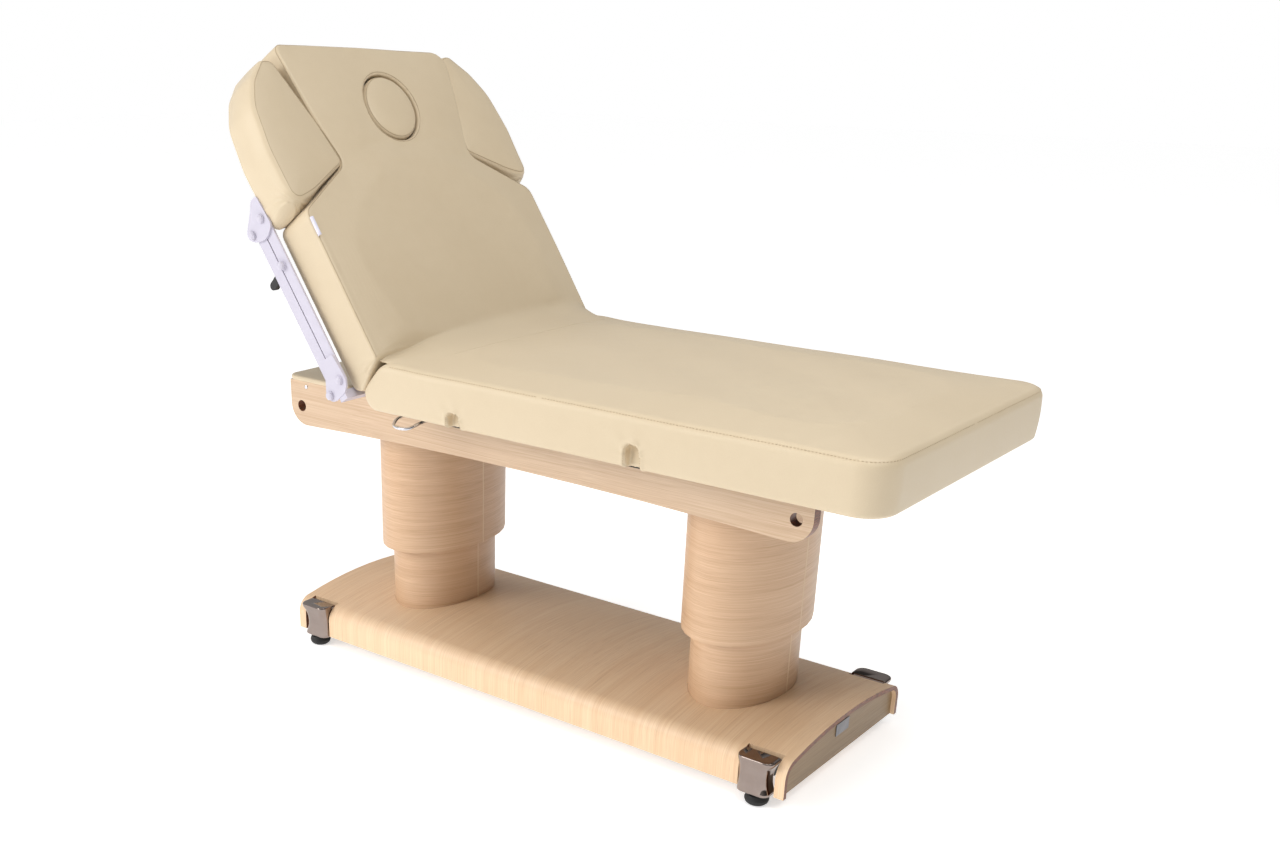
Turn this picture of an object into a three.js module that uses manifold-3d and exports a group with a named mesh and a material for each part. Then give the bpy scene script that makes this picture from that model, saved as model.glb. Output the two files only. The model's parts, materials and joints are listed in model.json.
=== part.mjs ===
// Facial treatment bed with twin lifting columns, millimetres, +Z up.
// X runs from the head to the foot, Y across the bed, and the floor is at Z 0.
// "near" pieces are on the -Y side and "far" pieces on the +Y side.
import * as THREE from 'three';
import { mergeVertices } from 'three/addons/utils/BufferGeometryUtils.js';
import Module from 'manifold-3d';

const wasm = await Module();
wasm.setup();

// ---- driving dimensions -------------------------------------------------
const GAP = 0.3; // between pieces that touch
const ORIGIN_FROM_BASE = -65.3; // X of the base's middle, so the bed's box is centred on X 0

const BASE = { length: 1400, width: 518, bottom: 30, crown: 131, wall: 11, corner: 38, arch: 1176 };
const PANEL = { thick: 12, recess: 10 };
const CORNER = { from: 594, to: 677, inner: 222, outer: 279, bottom: 28, top: 109 };
const FOOT = { x: 636, y: 250, radius: 26, height: 24 };
const COLUMNS = { head: -428, foot: 446 };
const COVER = { a: 107, b: 151, wall: 8, bottom: 76, top: 445 };
const SLEEVE = { a: 124, b: 186, wall: 8, bottom: 280, top: 591.7 };
const TUBE = { outer: 110, inner: 98, wall: 4.5 };
const RAIL = { half: 700, outer: 247, inner: 222, top: 671, bottom: 565, rise: 14, corner: 50 };
const RAIL_HOLE = { x: 664, z: 611, radius: 13.5 };
const BEAM = { bottom: 592, plate: 10, rib: 28 };
const BOARD = { bottom: 671.5, thick: 14.5, half: 334, foot: 50 };
const BED = { half: 379, top: 794, foot: 889, seam: 788 };
const SEAT = { head: -257, hinge: -65 };
const KNEE = 383;
const LEG_AXIS = 678.5; // height of the thigh and knee hinges

// The backrest is drawn lying flat, then turned up about its hinge.
const BACK = { hinge: [-306.5, 724.5], raise: 55.8, fold: -340, pad: 88.5, thick: 105 };
const SHOULDER = { s: 345, half: 379 };
const NECK = { s: 450, half: 215 };
const CROWN = { s: 730, half: 252 };
const FACE = { s: 588, length: 176, width: 120 };

// Arm rest links, measured along the backrest (s) and down from its top seam (n).
const LINK = { lower: [18, 103], rearStep: [-15.5, 45.5], along: [388, 4], plane: 396, thick: 5.6 };
const LINK_WIDTH = 28;

// ---- solids --------------------------------------------------------------
const solidOf = (geometry) => {
  const plain = geometry.clone();
  plain.deleteAttribute('normal');
  plain.deleteAttribute('uv');
  const merged = mergeVertices(plain, 1e-4);
  return new wasm.Manifold(new wasm.Mesh({
    numProp: 3,
    vertProperties: Float32Array.from(merged.attributes.position.array),
    triVerts: Uint32Array.from(merged.index.array),
  }));
};

const geometryOf = (solid) => {
  const mesh = solid.getMesh();
  const geometry = new THREE.BufferGeometry();
  geometry.setAttribute('position', new THREE.BufferAttribute(Float32Array.from(mesh.vertProperties), 3));
  geometry.setIndex(new THREE.BufferAttribute(Uint32Array.from(mesh.triVerts), 1));
  geometry.computeVertexNormals();
  return geometry;
};

const join = (...pieces) => geometryOf(pieces.map(solidOf).reduce((all, next) => all.add(next)));
const cut = (body, ...tools) => geometryOf(
  tools.map(solidOf).reduce((rest, tool) => rest.subtract(tool), solidOf(body)),
);

const block = (x, y, z) => new THREE.BoxGeometry(x[1] - x[0], y[1] - y[0], z[1] - z[0])
  .translate((x[0] + x[1]) / 2, (y[0] + y[1]) / 2, (z[0] + z[1]) / 2);

const upright = (radius, x, y, z, sides = 20) => new THREE.CylinderGeometry(
  radius, radius, z[1] - z[0], sides,
).rotateX(Math.PI / 2).translate(x, y, (z[0] + z[1]) / 2);

const lying = (radius, x, z, y, sides = 20) => new THREE.CylinderGeometry(
  radius, radius, Math.abs(y[1] - y[0]), sides,
).translate(x, (y[0] + y[1]) / 2, z);

const rod = (radius, x, y, z, sides = 16) => new THREE.CylinderGeometry(
  radius, radius, x[1] - x[0], sides,
).rotateZ(Math.PI / 2).translate((x[0] + x[1]) / 2, y, z);

// An XY outline raised along Z.
const raised = (shape, z, segments = 8) => new THREE.ExtrudeGeometry(
  shape, { depth: z[1] - z[0], bevelEnabled: false, curveSegments: segments },
).translate(0, 0, z[0]);

// An XZ outline given thickness along Y.
const sideways = (shape, y, segments = 8) => {
  const from = Math.min(...y);
  const to = Math.max(...y);
  return new THREE.ExtrudeGeometry(
    shape, { depth: to - from, bevelEnabled: false, curveSegments: segments },
  ).rotateX(Math.PI / 2).translate(0, to, 0);
};

// A range measured out from the middle, on the side given.
const ordered = (side, range) => range.map((v) => v * side).sort((p, q) => p - q);

// A YZ outline drawn out along X.
const lengthways = (shape, x, segments = 6) => {
  const axes = new THREE.Matrix4().makeBasis(
    new THREE.Vector3(0, 1, 0), new THREE.Vector3(0, 0, 1), new THREE.Vector3(1, 0, 0),
  );
  return new THREE.ExtrudeGeometry(
    shape, { depth: x[1] - x[0], bevelEnabled: false, curveSegments: segments },
  ).applyMatrix4(axes).translate(x[0], 0, 0);
};

// A soft block: an outline raised along Z with rounded top and bottom edges.
const cushion = (shape, z, round, segments = 6) => new THREE.ExtrudeGeometry(shape, {
  depth: z[1] - z[0] - 2 * round,
  bevelThickness: round,
  bevelSize: 0.6 * round,
  bevelOffset: -0.6 * round,
  bevelSegments: 2,
  curveSegments: segments,
}).translate(0, 0, z[0] + round);

const ellipse = (a, b) => {
  const shape = new THREE.Shape();
  shape.absellipse(0, 0, a, b, 0, 2 * Math.PI);
  return shape;
};

// A polygon whose corners are rounded by the radius given with each point.
const rounded = (points) => {
  const shape = new THREE.Shape();
  points.forEach(([x, y, radius], i) => {
    const here = new THREE.Vector2(x, y);
    const before = new THREE.Vector2(...points.at(i - 1)).sub(here);
    const after = new THREE.Vector2(...points[(i + 1) % points.length]).sub(here);
    const reach = Math.min(radius, 0.49 * before.length(), 0.49 * after.length());
    const start = here.clone().add(before.setLength(reach));
    const end = here.clone().add(after.setLength(reach));
    if (i === 0) {
      shape.moveTo(start.x, start.y);
    } else {
      shape.lineTo(start.x, start.y);
    }
    if (radius > 0) {
      shape.quadraticCurveTo(x, y, end.x, end.y);
    }
  });
  shape.closePath();
  return shape;
};

// A flat link between two points, with round ends.
const bar = (from, to, half) => {
  const turn = Math.atan2(to[1] - from[1], to[0] - from[0]);
  const shape = new THREE.Shape();
  shape.absarc(from[0], from[1], half, turn + Math.PI / 2, turn + 1.5 * Math.PI, false);
  shape.absarc(to[0], to[1], half, turn - Math.PI / 2, turn + Math.PI / 2, false);
  shape.closePath();
  return shape;
};

const tubeRing = (outer, inner, z, segments) => {
  const shape = outer.clone();
  shape.holes.push(inner);
  return raised(shape, z, segments);
};

// ---- finishes --------------------------------------------------------------
const finish = (color, roughness, metalness = 0) => () => new THREE.MeshStandardMaterial(
  { color, roughness, metalness },
);
const FINISH = {
  oak: finish(0xd6b48c, 0.55),
  darkOak: finish(0x8a6d4d, 0.6),
  gunmetal: finish(0x584c46, 0.2, 1),
  rubber: finish(0x151515, 0.7),
  steel: finish(0x8d8f92, 0.45, 0.9),
  black: finish(0x24251f, 0.6),
  white: finish(0xeae6ee, 0.4),
  leather: finish(0xe8d6b6, 0.5),
  chrome: finish(0xd8d8dc, 0.1, 1),
};

const add = (parent, name, geometry, look) => {
  const mesh = new THREE.Mesh(geometry, FINISH[look]());
  mesh.name = name;
  parent.add(mesh);
  return mesh;
};

const bed = new THREE.Group();
const ENDS = { head: -1, foot: 1 };
const SIDES = { near: -1, far: 1 };

// ---- base: bent plywood shell on levelling feet ------------------------------
// The shell's section is a long crown arc, two corner arcs and two straight sides.
const archCentre = BASE.crown - BASE.arch;
const cornerY = BASE.width / 2 - BASE.corner;
const cornerZ = archCentre + Math.sqrt((BASE.arch - BASE.corner) ** 2 - cornerY ** 2);
const cornerAngle = Math.atan2(cornerZ - archCentre, cornerY);

const archOver = (path, inset) => {
  const side = BASE.width / 2 - inset;
  path.lineTo(side, cornerZ);
  path.absarc(cornerY, cornerZ, BASE.corner - inset, 0, cornerAngle, false);
  path.absarc(0, archCentre, BASE.arch - inset, cornerAngle, Math.PI - cornerAngle, false);
  path.absarc(-cornerY, cornerZ, BASE.corner - inset, Math.PI - cornerAngle, Math.PI, false);
  path.lineTo(-side, BASE.bottom);
};

const archBack = (path, inset) => {
  path.lineTo(inset - BASE.width / 2, BASE.bottom);
  path.lineTo(inset - BASE.width / 2, cornerZ);
  path.absarc(-cornerY, cornerZ, BASE.corner - inset, Math.PI, Math.PI - cornerAngle, true);
  path.absarc(0, archCentre, BASE.arch - inset, Math.PI - cornerAngle, cornerAngle, true);
  path.absarc(cornerY, cornerZ, BASE.corner - inset, cornerAngle, 0, true);
  path.lineTo(BASE.width / 2 - inset, BASE.bottom);
};

const makeShell = () => {
  const section = new THREE.Shape();
  section.moveTo(BASE.width / 2, BASE.bottom);
  archOver(section, 0);
  archBack(section, BASE.wall);
  section.closePath();
  const cuts = Object.values(COLUMNS).map((x) => raised(
    ellipse(COVER.a + GAP, COVER.b + GAP), [90, 160], 14,
  ).translate(x, 0, 0));
  for (const end of Object.values(ENDS)) {
    for (const side of Object.values(SIDES)) {
      const x = ordered(end, [CORNER.from - GAP, CORNER.to + GAP]);
      cuts.push(block(x, ordered(side, [CORNER.inner - GAP, CORNER.outer]), [0, 160]));
    }
  }
  return cut(lengthways(section, [-BASE.length / 2, BASE.length / 2], 5), ...cuts);
};

const makePanel = (end) => {
  const inset = BASE.wall + GAP;
  const outline = new THREE.Shape();
  outline.moveTo(BASE.width / 2 - inset, BASE.bottom);
  archOver(outline, inset);
  outline.closePath();
  const outer = BASE.length / 2 - PANEL.recess;
  return lengthways(outline, ordered(end, [outer - PANEL.thick, outer]), 5);
};

const INLET = { y: 150, z: 72, width: 50, height: 30, depth: 24 };
const inletFace = -(BASE.length / 2 - PANEL.recess);

add(bed, 'base_shell', makeShell(), 'oak');
add(bed, 'base_panel_foot', makePanel(ENDS.foot), 'darkOak');
add(bed, 'base_panel_head', cut(makePanel(ENDS.head), block(
  [inletFace - 5, inletFace + 30],
  [INLET.y - INLET.width / 2 - GAP, INLET.y + INLET.width / 2 + GAP],
  [INLET.z - INLET.height / 2 - GAP, INLET.z + INLET.height / 2 + GAP],
)), 'darkOak');

// The mains inlet: a flange on the panel and a body with an open socket.
add(bed, 'mains_inlet', cut(
  join(
    block(
      [inletFace - 3 - GAP, inletFace - GAP],
      [INLET.y - 32, INLET.y + 32],
      [INLET.z - 22, INLET.z + 22],
    ),
    block(
      [inletFace - 1, inletFace + INLET.depth],
      [INLET.y - INLET.width / 2, INLET.y + INLET.width / 2],
      [INLET.z - INLET.height / 2, INLET.z + INLET.height / 2],
    ),
  ),
  block(
    [inletFace - 10, inletFace + INLET.depth - 6],
    [INLET.y - 12, INLET.y + 12],
    [INLET.z - 8, INLET.z + 8],
  ),
), 'black');

add(bed, 'label_plate', block([690 + GAP, 692.3], [-28, 30], [80, 108]), 'steel');
add(bed, 'control_box', block([-150, 150], [-100, 100], [50, 108]), 'black');

for (const [name, side] of Object.entries(SIDES)) {
  add(bed, `floor_rail_${name}`, block([-640, 640], ordered(side, [160, 190]), [36, 66]), 'black');
}

// A corner housing: a flat top, a lip, and an outer face that draws in below it.
const makeCorner = (end, side) => {
  const plan = rounded([
    [CORNER.from, CORNER.inner, 0],
    [CORNER.to, CORNER.inner, 0],
    [CORNER.to, CORNER.outer, 20],
    [CORNER.from, CORNER.outer, 20],
  ]);
  const height = CORNER.top - CORNER.bottom;
  const body = new THREE.ExtrudeGeometry(
    plan, { depth: height, steps: 5, bevelEnabled: false, curveSegments: 3 },
  ).translate(0, 0, CORNER.bottom);
  const position = body.attributes.position;
  for (let i = 0; i < position.count; i += 1) {
    const up = (position.getZ(i) - CORNER.bottom) / height;
    const draw = 14 * Math.sin(Math.PI * Math.min(1, (1 - up) * 0.72)) * (up < 0.95 ? 1 : 0);
    if (position.getY(i) > CORNER.outer - 20) {
      position.setY(i, position.getY(i) - draw);
    }
  }
  const bored = cut(body, upright(7, FOOT.x, FOOT.y, [CORNER.bottom - 5, 80], 12));
  if (end < 0) {
    bored.applyMatrix4(new THREE.Matrix4().makeScale(-1, 1, 1));
  }
  if (side < 0) {
    bored.applyMatrix4(new THREE.Matrix4().makeScale(1, -1, 1));
  }
  return end * side < 0 ? flip(bored) : bored;
};

// Turns every triangle round, for a piece that has been mirrored.
function flip(geometry) {
  const index = Array.from(geometry.index.array);
  for (let i = 0; i < index.length; i += 3) {
    [index[i + 1], index[i + 2]] = [index[i + 2], index[i + 1]];
  }
  geometry.setIndex(index);
  geometry.computeVertexNormals();
  return geometry;
}

const makeFoot = () => new THREE.LatheGeometry([
  [0, 0], [18, 0], [24, 5], [FOOT.radius, 12], [22, FOOT.height - 2], [10, FOOT.height],
  [6.5, FOOT.height], [6.5, 70], [0, 70],
].map((point) => new THREE.Vector2(...point)), 20).rotateX(Math.PI / 2);

for (const [endName, end] of Object.entries(ENDS)) {
  for (const [sideName, side] of Object.entries(SIDES)) {
    add(bed, `corner_cover_${sideName}_${endName}`, makeCorner(end, side), 'gunmetal');
    const foot = add(bed, `levelling_foot_${sideName}_${endName}`, makeFoot(), 'rubber');
    foot.position.set(end * FOOT.x, side * FOOT.y, 0);
  }
}

// ---- lifting columns ----------------------------------------------------------
const square = (size) => {
  const h = size / 2;
  return rounded([[-h, -h, 6], [h, -h, 6], [h, h, 6], [-h, h, 6]]);
};

const makeOuterTube = () => join(
  tubeRing(square(TUBE.outer), square(TUBE.outer - 2 * TUBE.wall), [70, 440], 2),
  cut(
    block([-90, 90], [-205, 205], [66 + GAP, 74]),
    raised(square(TUBE.outer - 2 * TUBE.wall), [60, 80], 2),
  ),
);

const makeInnerTube = () => tubeRing(
  square(TUBE.inner), square(TUBE.inner - 2 * TUBE.wall), [195, BEAM.bottom - GAP], 2,
);

const makeBeam = () => {
  const top = BEAM.bottom + BEAM.plate;
  return join(
    block([-128, 128], [GAP - RAIL.inner, RAIL.inner - GAP], [BEAM.bottom, top]),
    ...[-1, 1].map((s) => block([s * 44 - 6, s * 44 + 6], [-200, 200], [top - 1, top + BEAM.rib])),
  );
};

for (const [name, x] of Object.entries(COLUMNS)) {
  const column = new THREE.Group();
  column.position.x = x;
  bed.add(column);
  add(column, `column_cover_${name}`, tubeRing(
    ellipse(COVER.a, COVER.b),
    ellipse(COVER.a - COVER.wall, COVER.b - COVER.wall),
    [COVER.bottom, COVER.top],
    14,
  ), 'oak');
  add(column, `column_sleeve_${name}`, tubeRing(
    ellipse(SLEEVE.a, SLEEVE.b),
    ellipse(SLEEVE.a - SLEEVE.wall, SLEEVE.b - SLEEVE.wall),
    [SLEEVE.bottom, SLEEVE.top],
    14,
  ), 'oak');
  add(column, `lift_tube_outer_${name}`, makeOuterTube(), 'steel');
  add(column, `lift_tube_inner_${name}`, makeInnerTube(), 'steel');
  add(column, `crossbeam_${name}`, makeBeam(), 'steel');
}

// ---- top frame -------------------------------------------------------------------
// A rail has a square top, round lower corners and a slightly arched lower edge.
const makeRail = (side) => {
  const { half, top, bottom, corner, rise } = RAIL;
  const outline = new THREE.Shape();
  outline.moveTo(half, top);
  outline.lineTo(-half, top);
  outline.lineTo(-half, bottom + corner);
  outline.absarc(corner - half, bottom + corner, corner, Math.PI, 1.5 * Math.PI, false);
  outline.quadraticCurveTo(0, bottom + 2 * rise, half - corner, bottom);
  outline.absarc(half - corner, bottom + corner, corner, 1.5 * Math.PI, 2 * Math.PI, false);
  outline.closePath();
  for (const end of Object.values(ENDS)) {
    const hole = new THREE.Path();
    hole.absarc(end * RAIL_HOLE.x, RAIL_HOLE.z, RAIL_HOLE.radius, 0, 2 * Math.PI, true);
    outline.holes.push(hole);
  }
  return sideways(outline, [side * RAIL.outer, side * RAIL.inner], 8);
};

// A fixed hinge plate on the inside of a rail, with an eye for the backrest's shaft.
const HINGE_PLATE = [212, 221.7];
const [hingeX, hingeZ] = BACK.hinge;
const SHAFT = 7;

const makeHingePlate = (side) => cut(
  sideways(rounded([
    [-352, 604, 4], [-289, 604, 4], [-289, hingeZ + 14, 13], [-324, hingeZ + 14, 13], [-326, 676, 20],
    [-352, 664, 4],
  ]), HINGE_PLATE.map((v) => v * side), 3),
  lying(SHAFT + 0.5, hingeX, hingeZ, [side * 200, side * 230], 16),
);

for (const [name, side] of Object.entries(SIDES)) {
  add(bed, `side_rail_${name}`, makeRail(side), 'oak');
  add(bed, `back_hinge_plate_${name}`, makeHingePlate(side), 'steel');
}

add(bed, 'deck_pad', cushion(rounded([
  [-704, -251, 22], [-500, -251, 10], [-500, 251, 10], [-704, 251, 22],
]), [RAIL.top + GAP, 682.5], 3, 4), 'leather');

// The handset hook, a bent wire that hangs from the seat board's near edge.
const makeHook = () => {
  const route = new THREE.CatmullRomCurve3([
    [-196, -288, 665.5], [-196, -346, 665], [-204, -364, 658], [-250, -364, 658], [-258, -346, 665],
    [-258, -288, 665.5],
  ].map((point) => new THREE.Vector3(...point)), false, 'chordal');
  const wire = new THREE.Shape();
  wire.absarc(0, 0, 3.5, 0, 2 * Math.PI);
  const bow = new THREE.ExtrudeGeometry(wire, { steps: 24, extrudePath: route, curveSegments: 4 });
  return join(bow, block([-268, -186], [-300, -284], [662, 671]));
};
add(bed, 'handset_hook', makeHook(), 'chrome');

// ---- seat, thigh and lower-leg sections ---------------------------------------------
const boardZ = [BOARD.bottom, BOARD.bottom + BOARD.thick];
const padZ = [BOARD.bottom + BOARD.thick + 0.5, BED.top];

// A section's cushion drawn from the side, with a small bevel along both long edges.
const sectionPad = (profile) => {
  const round = 10;
  return new THREE.ExtrudeGeometry(rounded(profile), {
    depth: 2 * BED.half - 2 * round,
    bevelThickness: round,
    bevelSize: 6,
    bevelOffset: -6,
    bevelSegments: 2,
    curveSegments: 4,
  }).rotateX(Math.PI / 2).translate(0, BED.half - round, 0);
};

const [padBottom, padTop] = padZ;
add(bed, 'seat_board', block([-250, SEAT.hinge - 4], [-BOARD.half, BOARD.half], boardZ), 'black');
// The seat cushion's head end reaches further back on both sides of the backrest's hinge.
const seatLobe = rounded([
  [-240, padBottom, 2], [-298, padBottom, 14], [-328, 720, 16], [-274, 780, 12], [-240, 780, 2],
]);
add(bed, 'seat_pad', join(
  sectionPad([
    [SEAT.head, padBottom, 12], [SEAT.hinge - 3, padBottom, 12], [SEAT.hinge - 24, padTop, 16],
    [SEAT.head, padTop, 22],
  ]),
  ...Object.values(SIDES).map((side) => sideways(seatLobe, ordered(side, [232, BED.half - 4]), 4)),
), 'leather');

// The thigh board carries the lug that the leg actuator pushes.
const LEG_LUG = { drop: 66, y: [-50, -40] };
add(bed, 'thigh_board', join(
  block([SEAT.hinge + 4, KNEE - 4], [-BOARD.half, BOARD.half], boardZ),
  sideways(rounded([
    [SEAT.hinge - 12, LEG_AXIS - LEG_LUG.drop - 12, 11], [SEAT.hinge + 12, LEG_AXIS - LEG_LUG.drop - 12, 11],
    [SEAT.hinge + 90, BOARD.bottom + 2, 2], [SEAT.hinge + 6, BOARD.bottom + 2, 2],
  ]), LEG_LUG.y, 3),
), 'black');
add(bed, 'thigh_pad', sectionPad([
  [SEAT.hinge + 4, padBottom, 12], [KNEE - 3, padBottom, 12], [KNEE - 3, padTop, 16],
  [SEAT.hinge + 30, padTop, 16],
]), 'leather');

add(bed, 'calf_board', raised(rounded([
  [KNEE + 4, -BOARD.half, 0], [BED.foot - BOARD.foot, -BOARD.half, 50],
  [BED.foot - BOARD.foot, BOARD.half, 50],
  [KNEE + 4, BOARD.half, 0],
]), boardZ, 4), 'black');
add(bed, 'calf_pad', cushion(rounded([
  [KNEE + 1, -BED.half, 14], [BED.foot, -BED.half, 62], [BED.foot, BED.half, 62],
  [KNEE + 1, BED.half, 14],
]), padZ, 9, 5), 'leather');

// ---- actuators -----------------------------------------------------------------------
// Each body is fixed to the top frame. Its rod's eye lies beside the lug that it drives.
const HORN = { radius: 90, lean: 22, y: [57, 66] };
const hornAngle = THREE.MathUtils.degToRad(HORN.lean);
const hornX = hingeX - HORN.radius * Math.sin(hornAngle);
const BACK_ROD = { y: 46, z: 642 };
const LEG_ROD = { y: -61, z: LEG_AXIS - LEG_LUG.drop + 2 };

const rodWithEye = (x, eyeX, y, z) => join(
  rod(9, x, y, z),
  lying(12, eyeX, z, [y - 4, y + 4], 16),
);

add(bed, 'back_actuator', cut(
  join(
    block([186, 206], [GAP - RAIL.inner, RAIL.inner - GAP], [628, 656]),
    block([60, 190], [BACK_ROD.y - 38, BACK_ROD.y + 38], [608, 664]),
    rod(22, [-205, 80], BACK_ROD.y, BACK_ROD.z),
  ),
  rod(10.5, [-210, 50], BACK_ROD.y, BACK_ROD.z),
), 'black');
add(bed, 'back_rod', rodWithEye([-334, -100], hornX, BACK_ROD.y, BACK_ROD.z), 'steel');

add(bed, 'leg_actuator', cut(
  join(
    block([-372, -282], [LEG_ROD.y - 30, LEG_ROD.y + 30], [BEAM.bottom + BEAM.plate + GAP, 646]),
    rod(18, [-290, -150], LEG_ROD.y, LEG_ROD.z),
  ),
  rod(10.5, [-280, -140], LEG_ROD.y, LEG_ROD.z),
), 'black');
add(bed, 'leg_rod', rodWithEye([-255, SEAT.hinge - 8], SEAT.hinge, LEG_ROD.y, LEG_ROD.z), 'steel');

// ---- backrest, drawn flat and turned up about its hinge ---------------------------------
const backrest = new THREE.Group();
backrest.position.set(hingeX, 0, hingeZ);
backrest.rotation.y = THREE.MathUtils.degToRad(BACK.raise);
bed.add(backrest);
const laidFlat = new THREE.Group();
laidFlat.position.set(-hingeX, 0, -hingeZ);
backrest.add(laidFlat);

const alongX = (s) => BACK.fold - s; // along the backrest, from the fold to the head
const downZ = (n) => BED.seam - n; // below the top seam

const backOutline = (inset, start) => rounded([
  [alongX(start), -(SHOULDER.half - inset), 16],
  [alongX(start), SHOULDER.half - inset, 16],
  [alongX(SHOULDER.s + 5 - inset * 0.5), SHOULDER.half - inset, 18],
  [alongX(NECK.s - inset * 0.5), NECK.half - inset, 24],
  [alongX(CROWN.s - 6 - inset), CROWN.half - inset, 34],
  [alongX(CROWN.s - 10 - inset), 0, 60],
  [alongX(CROWN.s - 6 - inset), -(CROWN.half - inset), 34],
  [alongX(NECK.s - inset * 0.5), -(NECK.half - inset), 24],
  [alongX(SHOULDER.s + 5 - inset * 0.5), -(SHOULDER.half - inset), 18],
].reverse());

const faceOval = (margin) => {
  const shape = new THREE.Shape();
  shape.absellipse(alongX(FACE.s), 0, FACE.length / 2 + margin, FACE.width / 2 + margin, 0, 2 * Math.PI);
  return shape;
};

const backThick = downZ(BACK.thick);
add(laidFlat, 'back_pad', cut(
  cushion(backOutline(0, 16), [downZ(BACK.pad), BED.top], 9, 4),
  raised(faceOval(3), [600, 900], 14),
), 'leather');
add(laidFlat, 'back_board', cut(
  raised(backOutline(14, 30), [backThick, downZ(BACK.pad + 0.5)], 4),
  raised(faceOval(-8), [600, 900], 14),
), 'black');
add(laidFlat, 'face_plug', cushion(faceOval(0), [downZ(BACK.pad), BED.top + 3], 8, 12), 'leather');

// A hinge arm runs under the board from the shaft's eye.
const makeHingeArm = (side) => join(
  sideways(rounded([
    [hingeX - 12, hingeZ + 12, 11], [hingeX + 12, hingeZ + 12, 11], [hingeX + 12, hingeZ - 10, 8],
    [-322, backThick - 8, 8], [-470, backThick - 8, 2], [-470, backThick - GAP, 2],
    [-345, backThick - GAP, 2], [-332, 702, 8],
  ].reverse()), [side * 200, side * 208], 3),
  block([-470, -380], ordered(side, [180, 228]), [backThick - 6, backThick - GAP]),
);

for (const [name, side] of Object.entries(SIDES)) {
  add(laidFlat, `back_hinge_arm_${name}`, cut(
    makeHingeArm(side),
    lying(SHAFT + GAP, hingeX, hingeZ, [side * 190, side * 230], 16),
  ), 'steel');
}

// The hinge shaft with the horn that the back actuator pushes.
const makeShaft = () => {
  const flatAngle = THREE.MathUtils.degToRad(HORN.lean - BACK.raise);
  const tip = [hingeX - HORN.radius * Math.sin(flatAngle), hingeZ - HORN.radius * Math.cos(flatAngle)];
  return join(lying(SHAFT, hingeX, hingeZ, [-224, 224], 16), sideways(bar(BACK.hinge, tip, 11), HORN.y, 5));
};
add(laidFlat, 'back_shaft', makeShaft(), 'steel');

// ---- arm rests on parallel links -----------------------------------------------------------
const linkPoint = ([s, n]) => [alongX(s), downZ(n)];
const plus = (p, q) => [p[0] + q[0], p[1] + q[1]];
const PIVOT = {
  frontLow: linkPoint(LINK.lower),
  rearLow: linkPoint(plus(LINK.lower, LINK.rearStep)),
  frontHigh: linkPoint(plus(LINK.lower, LINK.along)),
  rearHigh: linkPoint(plus(plus(LINK.lower, LINK.rearStep), LINK.along)),
};
const CAP = { radius: 9, height: 6 };
const LINK_OUT = LINK.plane + LINK.thick;
const PLATE_OUT = LINK_OUT + GAP + 5;

const LEVER = [297, 113]; // pivot of the release lever
const PIN = 4;

const linkPlane = (side) => [side * LINK.plane, side * LINK_OUT];
const platePlane = (side) => [side * (LINK_OUT + GAP), side * PLATE_OUT];

// Each pivot has a cap outside the plate and a pin through the bar behind it.
const pivots = (side, points) => points.flatMap(([x, z]) => [
  lying(CAP.radius, x, z, [side * (PLATE_OUT - 1), side * (PLATE_OUT + CAP.height)], 14),
  lying(PIN, x, z, [side * (LINK.plane - 3), side * (PLATE_OUT - 2)], 10),
]);
const pinHoles = (side, points) => points.map(([x, z]) => lying(
  PIN + GAP, x, z, [side * (LINK.plane - 9), side * (LINK_OUT + 9)], 10,
));

// A rear bar's middle is set in towards the front bar, so its pivots sit on ears.
const makeRearBar = (side) => {
  const low = plus(PIVOT.rearLow, [-22, 15]);
  const high = plus(PIVOT.rearHigh, [22, 15]);
  const ear = (pivot) => sideways(bar(pivot, plus(pivot, [0, 4]), 13), linkPlane(side), 5);
  return cut(
    join(
      sideways(bar(low, high, LINK_WIDTH / 2), linkPlane(side), 4),
      ear(PIVOT.rearLow),
      ear(PIVOT.rearHigh),
    ),
    ...pinHoles(side, [PIVOT.rearLow, PIVOT.rearHigh]),
  );
};

const makeFrontBar = (side) => {
  const stud = linkPoint(LEVER);
  return cut(
    join(
      sideways(bar(PIVOT.frontLow, PIVOT.frontHigh, LINK_WIDTH / 2), linkPlane(side), 5),
      lying(CAP.radius, ...stud, [side * (LINK_OUT - 1), side * (PLATE_OUT + CAP.height)], 14),
    ),
    ...pinHoles(side, [PIVOT.frontLow, PIVOT.frontHigh]),
  );
};

const makeArmBase = (side) => join(
  sideways(rounded([
    [alongX(74), downZ(90), 6], [alongX(10), downZ(84), 10], [alongX(-12), downZ(100), 14],
    [alongX(-16), downZ(148), 16], [alongX(4), downZ(164), 14], [alongX(30), downZ(146), 8],
    [alongX(74), downZ(118), 6],
  ].reverse()), platePlane(side), 4),
  ...pivots(side, [PIVOT.frontLow, PIVOT.rearLow]),
  block([alongX(-4), alongX(-24)], ordered(side, [262, PLATE_OUT - 1]), [660, 683]),
  block([-430, alongX(-10)], ordered(side, [270, 330]), [backThick - 6.3, backThick - GAP]),
);

const makeCarrier = (side) => join(
  sideways(rounded([
    [alongX(372), downZ(150), 8], [alongX(362), downZ(116), 30], [alongX(382), downZ(86), 8],
    [alongX(452), downZ(92), 6], [alongX(452), downZ(113), 6], [alongX(436), downZ(128), 8],
    [alongX(402), downZ(170), 12], [alongX(386), downZ(168), 10],
  ]), platePlane(side), 4),
  ...pivots(side, [PIVOT.frontHigh, PIVOT.rearHigh]),
  block([alongX(450), alongX(424)], ordered(side, [300, PLATE_OUT - 1]), [downZ(111.5), downZ(105.5)]),
  block([alongX(560), alongX(424)], ordered(side, [300, 366]), [downZ(111.5), downZ(105.5)]),
);

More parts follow.
